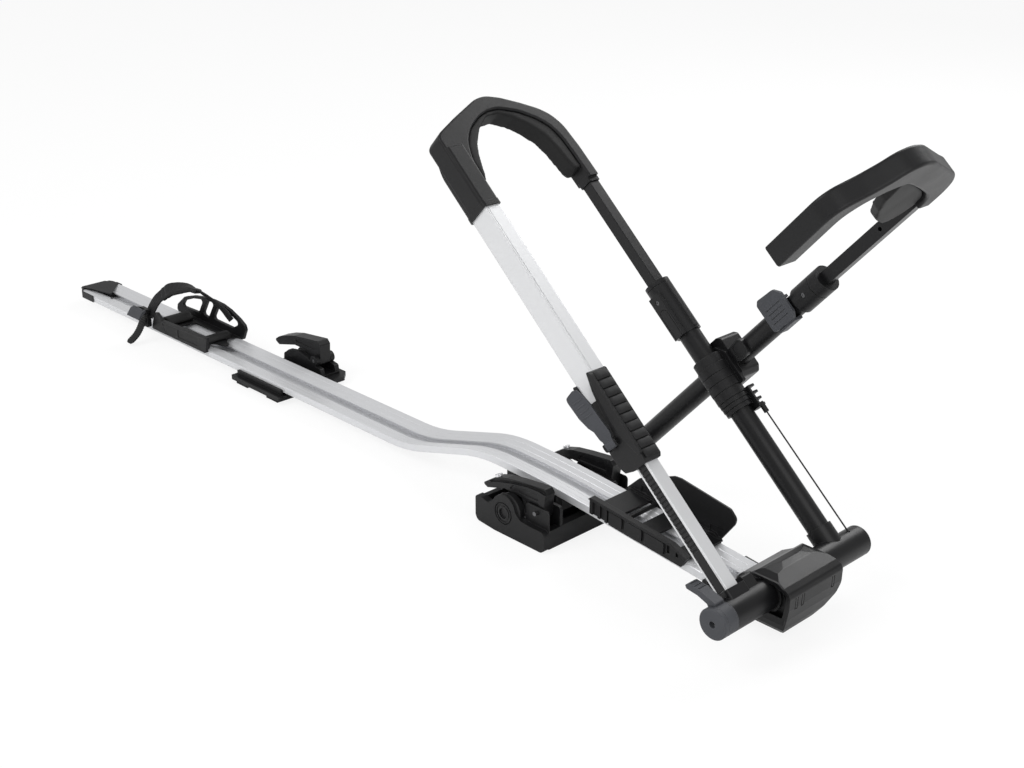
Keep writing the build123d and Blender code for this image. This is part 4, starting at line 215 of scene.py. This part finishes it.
def moulding(
    name, colour, edge_highlight, rough, sheen=0.24, grain=2200.0, depth=0.00012, radius=0.0008, edge=0.0012
):
    """Moulded plastic or rubber with grain, uneven tone and a painted highlight on its edges."""
    material, tree, shader = blank(name, Specular_IOR_Level=sheen)
    skin = place_group(tree, GRAIN, Grain=grain)
    edge_mask = place_group(tree, HIGHLIGHT_EDGES, Width=edge)
    tone = between(tree, skin.outputs["Tone"], [0.8 * c for c in colour], [1.2 * c for c in colour])
    # Painted highlight: the edge mask lightens the colour towards the second colour at the edges.
    mix = tree.nodes.new("ShaderNodeMix")
    mix.data_type = "RGBA"
    mix.inputs["B"].default_value = (*edge_highlight, 1)
    link(tree, tone, mix.inputs["A"])
    link(tree, edge_mask.outputs["Mask"], mix.inputs["Factor"])
    link(tree, mix.outputs["Result"], shader.inputs["Base Color"])
    link(tree, span(tree, skin.outputs["Tone"], rough - 0.07, rough + 0.07), shader.inputs["Roughness"])
    soften(tree, shader, skin.outputs["Height"], depth, 0.5, radius)
    return material


def anodised(name, colour, rough, angle=0.0, depth=0.00001, radius=0.0006):
    """Drawn aluminium with a dull satin coat and faint lines along its length."""
    material, tree, shader = blank(name, Metallic=0.55)
    lines = place_group(tree, LINES, Angle=angle)
    tone = between(tree, lines.outputs["Tone"], [0.975 * c for c in colour], colour)
    link(tree, tone, shader.inputs["Base Color"])
    link(tree, span(tree, lines.outputs["Tone"], rough - 0.03, rough + 0.04), shader.inputs["Roughness"])
    soften(tree, shader, lines.outputs["Height"], depth, 0.15, radius)
    return material


def plated(name, colour, rough):
    """Small plated steel pieces with uneven gloss."""
    material, tree, shader = blank(name, Metallic=1.0)
    skin = place_group(tree, GRAIN, Grain=900.0, Cloud=120.0)
    tone = between(tree, skin.outputs["Tone"], [0.85 * c for c in colour], colour)
    link(tree, tone, shader.inputs["Base Color"])
    link(tree, span(tree, skin.outputs["Tone"], rough - 0.08, rough + 0.1), shader.inputs["Roughness"])
    soften(tree, shader, skin.outputs["Height"], 0.00003, 0.4, 0.0004)
    return material


deep_black = (0.0055, 0.0055, 0.006)
# Lighter black painted on the edges as a highlight.
highlight_black = (0.022, 0.022, 0.023)
# In each moulding the colour after the base colour is the painted highlight on its edges.
finishes = {
    "tray_alloy": anodised("tray_alloy", (0.64, 0.645, 0.66), 0.42),
    "leg_alloy": anodised("leg_alloy", (0.62, 0.625, 0.635), 0.38, leg_rest),
    "rack_alloy": moulding(
        "rack_alloy", (0.007, 0.007, 0.0075), (0.05, 0.05, 0.052), 0.36,
        grain=1600.0, depth=0.00005, radius=0.0003, edge=0.0005,
    ),
    "black_shell": moulding("black_shell", deep_black, highlight_black, 0.46),
    "black_satin": moulding("black_satin", deep_black, highlight_black, 0.38, grain=3000.0, depth=0.00006),
    "black_hood": moulding("black_hood", deep_black, highlight_black, 0.34, grain=3000.0, depth=0.00005),
    "black_tube": moulding(
        "black_tube", (0.0045, 0.0045, 0.005), (0.018, 0.018, 0.019), 0.36,
        grain=1600.0, depth=0.00006, radius=0.0006,
    ),
    "grey_lever": moulding("grey_lever", (0.046, 0.048, 0.054), (0.085, 0.087, 0.094), 0.5),
    "black_rubber": moulding(
        "black_rubber", (0.0055, 0.0055, 0.0056), (0.016, 0.016, 0.016), 0.62, grain=1500.0
    ),
    "grip_rubber": moulding("grip_rubber", (0.0075, 0.0075, 0.008), (0.02, 0.02, 0.021), 0.55, radius=0.0012),
    "strap_rubber": moulding("strap_rubber", (0.007, 0.007, 0.0075), (0.018, 0.018, 0.019), 0.5, radius=0.0006),
    "steel": plated("steel", (0.15, 0.15, 0.155), 0.36),
    "lock_chrome": plated("lock_chrome", (0.72, 0.72, 0.74), 0.18),
    "wire": plated("wire", (0.03, 0.03, 0.031), 0.5),
}


def dress_solids():
    """Gives every solid of the frame its finish."""
    for part in frame["record"]["subparts"]:
        mesh = frame["nodes"][part["node"]].data
        mesh.materials.clear()
        mesh.materials.append(finishes[part["material_slot"]])


def off_hub(x, y, z):
    """Point in metres from millimetres off the hub."""
    return hub + Vector((x, y, z)) / 1000


def on_leg(t, y, n):
    """Point in metres from millimetres up the legs, across them and over them."""
    return hub + (leg_along * t + Vector((0, y, 0)) + leg_over * n) / 1000


def piece(name, points, faces, finish, body):
    """New smooth piece that rides on a body."""
    mesh = bpy.data.meshes.new(name)
    mesh.from_pydata(points, [], faces)
    mesh.validate()
    mesh.shade_smooth()
    mesh.materials.append(finishes[finish])
    made = bpy.data.objects.new(name, mesh)
    bpy.context.scene.collection.objects.link(made)
    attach(made, body)
    return made


def loft(rings):
    """Points and faces of a closed skin over rings of equal count, capped at both ends."""
    count = len(rings[0])
    points = [p for ring in rings for p in ring]
    faces = [tuple(range(count))[::-1], tuple(range((len(rings) - 1) * count, len(rings) * count))]
    for k in range(len(rings) - 1):
        for j in range(count):
            a, b = k * count + j, k * count + (j + 1) % count
            faces.append((a, b, b + count, a + count))
    return points, faces


def add_skin(points, faces, skin):
    """Adds one more closed skin to the points and faces of a piece."""
    more, more_faces = skin
    faces += [tuple(i + len(points) for i in face) for face in more_faces]
    points += more


def curve_through(points, steps):
    """Evenly spaced points on a smooth curve through the given ones."""
    whole = [2 * points[0] - points[1]] + points + [2 * points[-1] - points[-2]]
    fine = []
    for k in range(1, len(whole) - 2):
        a, b, c, d = whole[k - 1 : k + 3]
        for j in range(12):
            s = j / 12
            square = (2 * a - 5 * b + 4 * c - d) * s**2
            cube = (3 * b - a - 3 * c + d) * s**3
            fine.append(0.5 * (2 * b + (c - a) * s + square + cube))
    fine.append(points[-1])
    runs = [0.0]
    for a, b in zip(fine, fine[1:]):
        runs.append(runs[-1] + (b - a).length)
    even, k = [], 0
    for j in range(steps + 1):
        want = runs[-1] * j / steps
        while k < len(fine) - 2 and runs[k + 1] < want:
            k += 1
        share = (want - runs[k]) / max(runs[k + 1] - runs[k], 1e-9)
        even.append(fine[k].lerp(fine[k + 1], min(share, 1.0)))
    return even


def round_section(half, thick, corner, turns=3):
    """Outline of a flat band with rounded corners, as pairs across and through it."""
    outline = []
    up = thick / 2
    for cx, cz, start in ((half, up, 0), (-half, up, 90), (-half, -up, 180), (half, -up, 270)):
        for j in range(turns + 1):
            angle = math.radians(start + 90 * j / turns)
            sx = 1 if cx > 0 else -1
            sz = 1 if cz > 0 else -1
            x = cx - sx * corner + corner * math.cos(angle)
            z = cz - sz * corner + corner * math.sin(angle)
            outline.append((x, z))
    return outline


def band(path, side_hint, shape):
    """Rings of a band along a path; shape gives half width, thickness and lift at a share of the path."""
    rings = []
    last = len(path) - 1
    for k, point in enumerate(path):
        ahead = (path[min(k + 1, last)] - path[max(k - 1, 0)]).normalized()
        across = (side_hint - ahead * side_hint.dot(ahead)).normalized()
        through = ahead.cross(across)
        half, thick, lift, corner = shape(k / last)
        ring = []
        for x, z in round_section(half, thick, corner):
            ring.append(point + across * x + through * (z + lift))
        rings.append(ring)
    return rings


# Ladder strap: where it starts, the way it runs over the wheel and its section.
strap_start = (-1335, -46)
strap_sink = 1.3
strap_run = Vector((163, 88, 0)).normalized()
strap_line = [(10, -12), (19, 5), (31, 21), (52, 37), (78, 44), (104, 43.5), (128, 32), (152, 15), (168, -4)]
strap_wide = 0.0109
strap_deep = 0.0026
strap_corner = 0.0009
strap_tooth = 0.0009
toothed_share = 0.34
tail_x = -1334
tail_line = [(-49.3, -8), (-50, -20), (-56, -33), (-66, -46), (-82, -57)]
tail_wide = 0.0088
tail_tooth = 0.0008
tip_share = 0.9

# Padded sleeve: its middle line, half width and thickness, and its swell along its length.
sleeve_line = [(38, 27.5), (52, 37.5), (64, 42), (78, 44.6), (92, 45), (110, 42)]
sleeve_wide = 0.0135
sleeve_deep = 0.0098
sleeve_lift = 0.0010
sleeve_corner = 0.0042
sleeve_crease = 0.00016
sleeve_swell = [(0, 0.5), (0.02, 0.78), (0.09, 0.8), (0.11, 0.66), (0.17, 0.98), (0.3, 1.08), (0.55, 1.1),
                (0.78, 1.0), (0.87, 0.7), (0.89, 0.82), (0.97, 0.8), (1, 0.5)]


def strap_point(s, z):
    """Point of the strap's middle line."""
    x, y = strap_start
    return off_hub(x + strap_run.x * s, y + strap_run.y * s, z - strap_sink)


def toothed(share, teeth, high):
    """Extra thickness where a ladder tooth stands."""
    return high if (share * teeth) % 1.0 > 0.45 else 0.0


def wheel_strap():
    """Ladder strap over the wheel and its hanging tail, with teeth, twist and rounded tip."""
    path = curve_through([strap_point(s, z) for s, z in strap_line], 240)

    def shape(share):
        teeth = toothed(share, 52, strap_tooth) if share < toothed_share else 0.0
        return strap_wide - 0.4 * teeth, strap_deep + teeth, 0, strap_corner

    points, faces = loft(band(path, Vector((1, 0, 0)), shape))
    tail = curve_through([off_hub(tail_x, y, z) for y, z in tail_line], 90)

    def tail_shape(share):
        end = max(0.0, (share - tip_share) / 0.1)
        teeth = toothed(share, 15, tail_tooth)
        return tail_wide * (1 - 0.45 * end**2), strap_deep + teeth * (1 - end), 0, strap_corner

    add_skin(points, faces, loft(band(tail, Vector((1, 0, 0)), tail_shape)))
    strap = piece("ladder_strap", points, faces, "strap_rubber", "wheel_holder")
    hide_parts("wheel_strap")


def strap_sleeve():
    """Padded sleeve round the crown of the strap, with a cuff at each end and soft creases."""
    path = curve_through([strap_point(s, z) for s, z in sleeve_line], 72)

    def swell(share):
        for (s0, v0), (s1, v1) in zip(sleeve_swell, sleeve_swell[1:]):
            if share <= s1:
                return v0 + (v1 - v0) * (share - s0) / (s1 - s0)
        return sleeve_swell[-1][1]

    def shape(share):
        fat = swell(share)
        crease = sleeve_crease * math.sin(share * 61) * math.sin(share * math.pi)
        return sleeve_wide * (0.7 + 0.3 * fat), sleeve_deep * fat + crease, sleeve_lift, sleeve_corner * fat

    sleeve = piece("padded_sleeve", *loft(band(path, Vector((1, 0, 0)), shape)), "strap_rubber", "wheel_holder")
    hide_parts("strap_sleeve")


def settled(made):
    """Applies what modifiers a piece has."""
    graph = bpy.context.evaluated_depsgraph_get()
    mesh = bpy.data.meshes.new_from_object(made.evaluated_get(graph))
    made.modifiers.clear()
    made.data = mesh
    mesh.shade_smooth()


def crowned(name, node, body, finish, voxel, rounds):
    """Moulded rubber piece: the solid's skin drawn anew and rounded off all over."""
    mesh = frame["nodes"][node].data.copy()
    made = bpy.data.objects.new(name, mesh)
    bpy.context.scene.collection.objects.link(made)
    mesh.materials.clear()
    mesh.materials.append(finishes[finish])
    skin = made.modifiers.new("skin", "REMESH")
    skin.mode = "VOXEL"
    skin.voxel_size = voxel
    ease = made.modifiers.new("ease", "SMOOTH")
    ease.iterations = rounds
    ease.factor = 0.5
    settled(made)
    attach(made, body)
    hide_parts(node)
    return made


# Handle grip, in millimetres up the legs, across them and over them.
rib_count = 10
rib_run = (199.0, 317.5)
rib_side = (-105.6, -81.8)
rib_deck = 17.86
rib_high = 2.5
rib_gap = (0.2, 0.5)


def grip():
    """Overlapping soft ribs of the handle grip, each with a rounded lip and far end."""
    start, end = rib_run
    near, far = rib_side
    step = (end - start) / rib_count
    points, faces = [], []
    for k in range(rib_count):
        t0, t1 = start + k * step + rib_gap[0], start + (k + 1) * step - rib_gap[1]
        rings = []
        for share in (0, 0.02, 0.06, 0.3, 0.6, 0.8, 0.9, 0.96, 1.0):
            y = near + (far - near) * share
            drop = 1.5 * max(0.0, (share - 0.8) / 0.2) ** 2 + 0.5 * max(0.0, (0.06 - share) / 0.06)
            pull = 0.9 * max(0.0, (share - 0.85) / 0.15) ** 2 + 0.4 * max(0.0, (0.06 - share) / 0.06)
            top = rib_deck + rib_high - drop
            low, high = t0 + pull, t1 - pull
            ring = [(low, rib_deck), (low, top - 0.9), (low + 0.25, top - 0.35), (low + 0.9, top),
                    (0.5 * (t0 + t1), top - 0.1), (high - 2.2, top - 0.5), (high - 0.6, top - 0.95),
                    (high, top - 1.5), (high, rib_deck)]
            rings.append([on_leg(t, y, n) for t, n in ring])
        add_skin(points, faces, loft(rings))
    made = piece("grip_ribs", points, faces, "grip_rubber", "hoop")
    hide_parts("handle_grip")


# Catch teeth of the rack, up the legs, and the strip's half width with its softened edge.
rack_start = 26.0
rack_first = 79.0
rack_pitch = 5.95
rack_count = 36
rack_notch = [(0.0, 0.0), (0.3, 1.5), (2.5, 1.5), (3.1, 0.4), (3.6, 0.0)]
rack_edges = [(-7.0, 0.4), (-6.6, 0.0), (6.6, 0.0), (7.0, 0.4)]


def toothed_strip():
    """Black strip in the leg's channel with sloped catch teeth and softened long edges."""
    low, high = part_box("ratchet_rack")
    face = 1000 * low.y
    back = 1000 * high.y
    line = [(rack_start, back), (rack_start, face)]
    for k in range(rack_count):
        t = rack_first + k * rack_pitch
        line += [(t + along, face + deep) for along, deep in rack_notch]
    end = rack_first + rack_count * rack_pitch
    line += [(end, face), (end, back)]
    rings = []
    for n, pinch in rack_edges:
        rings.append([on_leg(t, min(y + pinch, back), n) for t, y in line])
    strip = piece("toothed_strip", *loft(rings), "rack_alloy", "legs")
    for polygon in strip.data.polygons:
        polygon.use_smooth = False
    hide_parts("ratchet_rack")


# Crown of the rear cap off the hub, the point it draws in to, and its height with that draw.
crown = [(-1588, -28), (-1588, 31), (-1579, 35), (-1561, 35), (-1553, 26), (-1519, -6), (-1522, -8.5),
         (-1567, -18)]
crown_middle = (-1570, 5)
crown_rise = [(-34.2, 0.0), (-33.0, 0.0), (-32.6, 0.012), (-32.4, 0.04)]
plug_end = -1532
plug_half = 0.015


def end_cap():
    """Rear end cap: the solid's rim with a shorter plug and a slanted crown over the tray's end."""
    source = frame["nodes"]["rear_end_cap"].data
    short = off_hub(plug_end, 0, 0).x
    points = [v.co.copy() for v in source.vertices]
    for point in points:
        if abs(point.y) < plug_half:
            point.x = min(point.x, short)
    faces = [tuple(polygon.vertices) for polygon in source.polygons]
    middle_x, middle_y = crown_middle
    rings = []
    for z, pinch in crown_rise:
        ring = []
        for x, y in crown:
            ring.append(off_hub(x + (middle_x - x) * pinch, y + (middle_y - y) * pinch, z))
        rings.append(ring)
    add_skin(points, faces, loft(rings))
    cap = piece("slanted_cap", points, faces, "black_shell", "base")
    for polygon in cap.data.polygons:
        polygon.use_smooth = False
    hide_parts("rear_end_cap")


# Rubber treads, in metres: edge softening, half width of a groove and its depth.
tread_edge = 0.0006
tread_pinch = 0.0005
groove_half = 0.0012
groove_floor = 0.0006
groove_deep = 0.0009


def treads(name, node, body, spans, grooves):
    """Rubber strips with lengthwise grooves and softened edges under a foot."""
    low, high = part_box(node)
    points, faces = [], []
    for x0, x1 in spans:
        wide = x1 - x0
        profile = [(x0 + tread_edge, high.z), (x0, high.z - tread_edge)]
        profile += [(x0, low.z + tread_edge), (x0 + tread_edge, low.z)]
        for k in range(grooves):
            middle = x0 + wide * (k + 1) / (grooves + 1)
            profile += [(middle - groove_half, low.z), (middle - groove_floor, low.z + groove_deep)]
            profile += [(middle + groove_floor, low.z + groove_deep), (middle + groove_half, low.z)]
        profile += [(x1 - tread_edge, low.z), (x1, low.z + tread_edge)]
        profile += [(x1, high.z - tread_edge), (x1 - tread_edge, high.z)]
        rings = []
        stations = [(low.y, tread_pinch), (low.y + tread_edge, 0), (0.5 * (low.y + high.y), 0)]
        stations += [(high.y - tread_edge, 0), (high.y, tread_pinch)]
        for y, pinch in stations:
            ring = []
            for x, z in profile:
                inward = pinch if x < (x0 + x1) / 2 else -pinch
                ring.append(Vector((x + inward, y, min(max(z, low.z + pinch), high.z - pinch))))
            rings.append(ring)
        add_skin(points, faces, loft(rings))
    made = piece(name, points, faces, "black_rubber", body)
    for polygon in made.data.polygons:
        polygon.use_smooth = False
    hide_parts(node)


# Floor: half its width and its drop, in metres, its two tones and the glow it shows to the eye.
floor_reach = 14.0
floor_drop = 0.0005
floor_paint = ((0.90, 0.90, 0.90), (0.93, 0.93, 0.93))
floor_glow = 0.86
# Share of the surroundings' brightness that lights the part.
room_dim = 0.6


def studio():
    """White surroundings, dimmer in the lighting than to the eye, and a pale floor."""
    world = bpy.data.worlds.new("white_room")
    bpy.context.scene.world = world
    world.use_nodes = True
    tree = world.node_tree
    room = tree.nodes["Background"]
    room.inputs["Color"].default_value = (1, 1, 1, 1)
    path = tree.nodes.new("ShaderNodeLightPath")
    seen = math_node(tree, "MAXIMUM", path.outputs["Is Camera Ray"], path.outputs["Is Transmission Ray"])
    link(tree, math_node(tree, "MULTIPLY_ADD", seen, 1 - room_dim, room_dim), room.inputs["Strength"])

    mesh = bpy.data.meshes.new("floor")
    far = floor_reach
    mesh.from_pydata([(-far, -far, 0), (far, -far, 0), (far, far, 0), (-far, far, 0)], [], [(0, 1, 2, 3)])
    floor = bpy.data.objects.new("floor", mesh)
    bpy.context.scene.collection.objects.link(floor)
    floor.location.z = -floor_drop
    material, tree, shader = blank("pale_floor", Roughness=0.9)
    paint = place_group(tree, GRAIN, Grain=60.0, Cloud=2.0)
    tone = between(tree, paint.outputs["Tone"], *floor_paint)
    link(tree, tone, shader.inputs["Base Color"])
    glow = tree.nodes.new("ShaderNodeEmission")
    mix = tree.nodes.new("ShaderNodeMixShader")
    path = tree.nodes.new("ShaderNodeLightPath")
    share = math_node(tree, "MULTIPLY", path.outputs["Is Camera Ray"], floor_glow)
    link(tree, share, mix.inputs["Fac"])
    link(tree, shader.outputs["BSDF"], mix.inputs[1])
    link(tree, glow.outputs["Emission"], mix.inputs[2])
    link(tree, mix.outputs["Shader"], tree.nodes["Material Output"].inputs["Surface"])
    mesh.materials.append(material)


def lamp(name, place, target, size, watts):
    """Square soft lamp aimed at a point."""
    data = bpy.data.lights.new(name, "AREA")
    data.size = size
    data.energy = watts
    lamp_object = bpy.data.objects.new(name, data)
    bpy.context.scene.collection.objects.link(lamp_object)
    lamp_object.location = place
    aim = Vector(target) - Vector(place)
    lamp_object.rotation_euler = aim.to_track_quat("-Z", "Y").to_euler()


# Viewing angles in degrees, lens and sensor in millimetres, camera place off the hub in metres.
view_angles = (45.841, 22.836, 0.239)
view_lens = 53.405
view_sensor = 36
view_place = (0.88538, -1.31257, 0.90028)


def camera():
    """Camera at the photograph's viewing angle and distance."""
    turn, tilt, roll = (math.radians(angle) for angle in view_angles)
    ahead = Vector((-math.sin(turn) * math.cos(tilt), math.cos(turn) * math.cos(tilt), -math.sin(tilt)))
    right = Vector((math.cos(turn), math.sin(turn), 0))
    up = right.cross(ahead)
    across = right * math.cos(roll) + up * math.sin(roll)
    upward = up * math.cos(roll) - right * math.sin(roll)
    data = bpy.data.cameras.new("photo_view")
    data.lens = view_lens
    data.sensor_width = view_sensor
    view = bpy.data.objects.new("photo_view", data)
    bpy.context.scene.collection.objects.link(view)
    aim = Matrix((across, upward, -ahead)).transposed().to_4x4()
    view.matrix_world = Matrix.Translation(hub + Vector(view_place)) @ aim
    bpy.context.scene.camera = view


dress_solids()
wheel_strap()
strap_sleeve()
crowned("hoop_rubber", "hoop_pad", "hoop", "black_rubber", 0.0016, 8)
crowned("arm_rubber", "arm_inner_pad", "arm_top", "black_rubber", 0.0016, 8)
crowned("saddle_rubber", "saddle_humps", "wheel_holder", "black_rubber", 0.0012, 6)
grip()
toothed_strip()
end_cap()
treads("front_treads", "front_foot_pads", "base", [(-0.057, -0.029), (0.029, 0.056)], 4)
treads("rear_treads", "rear_foot_pads", "rear_foot", [(-0.683, -0.653), (-0.601, -0.571)], 4)
studio()
lamp("key", (-1.2, -2.6, 2.8), (-0.2, 0, 0.2), 1.8, 70)
lamp("fill", (2.4, -0.8, 1.8), (0.1, 0, 0.2), 2.2, 35)
lamp("back", (-0.4, 2.6, 2.2), (0, 0, 0.3), 1.6, 45)
camera()
bpy.context.scene.view_settings.view_transform = "Standard"
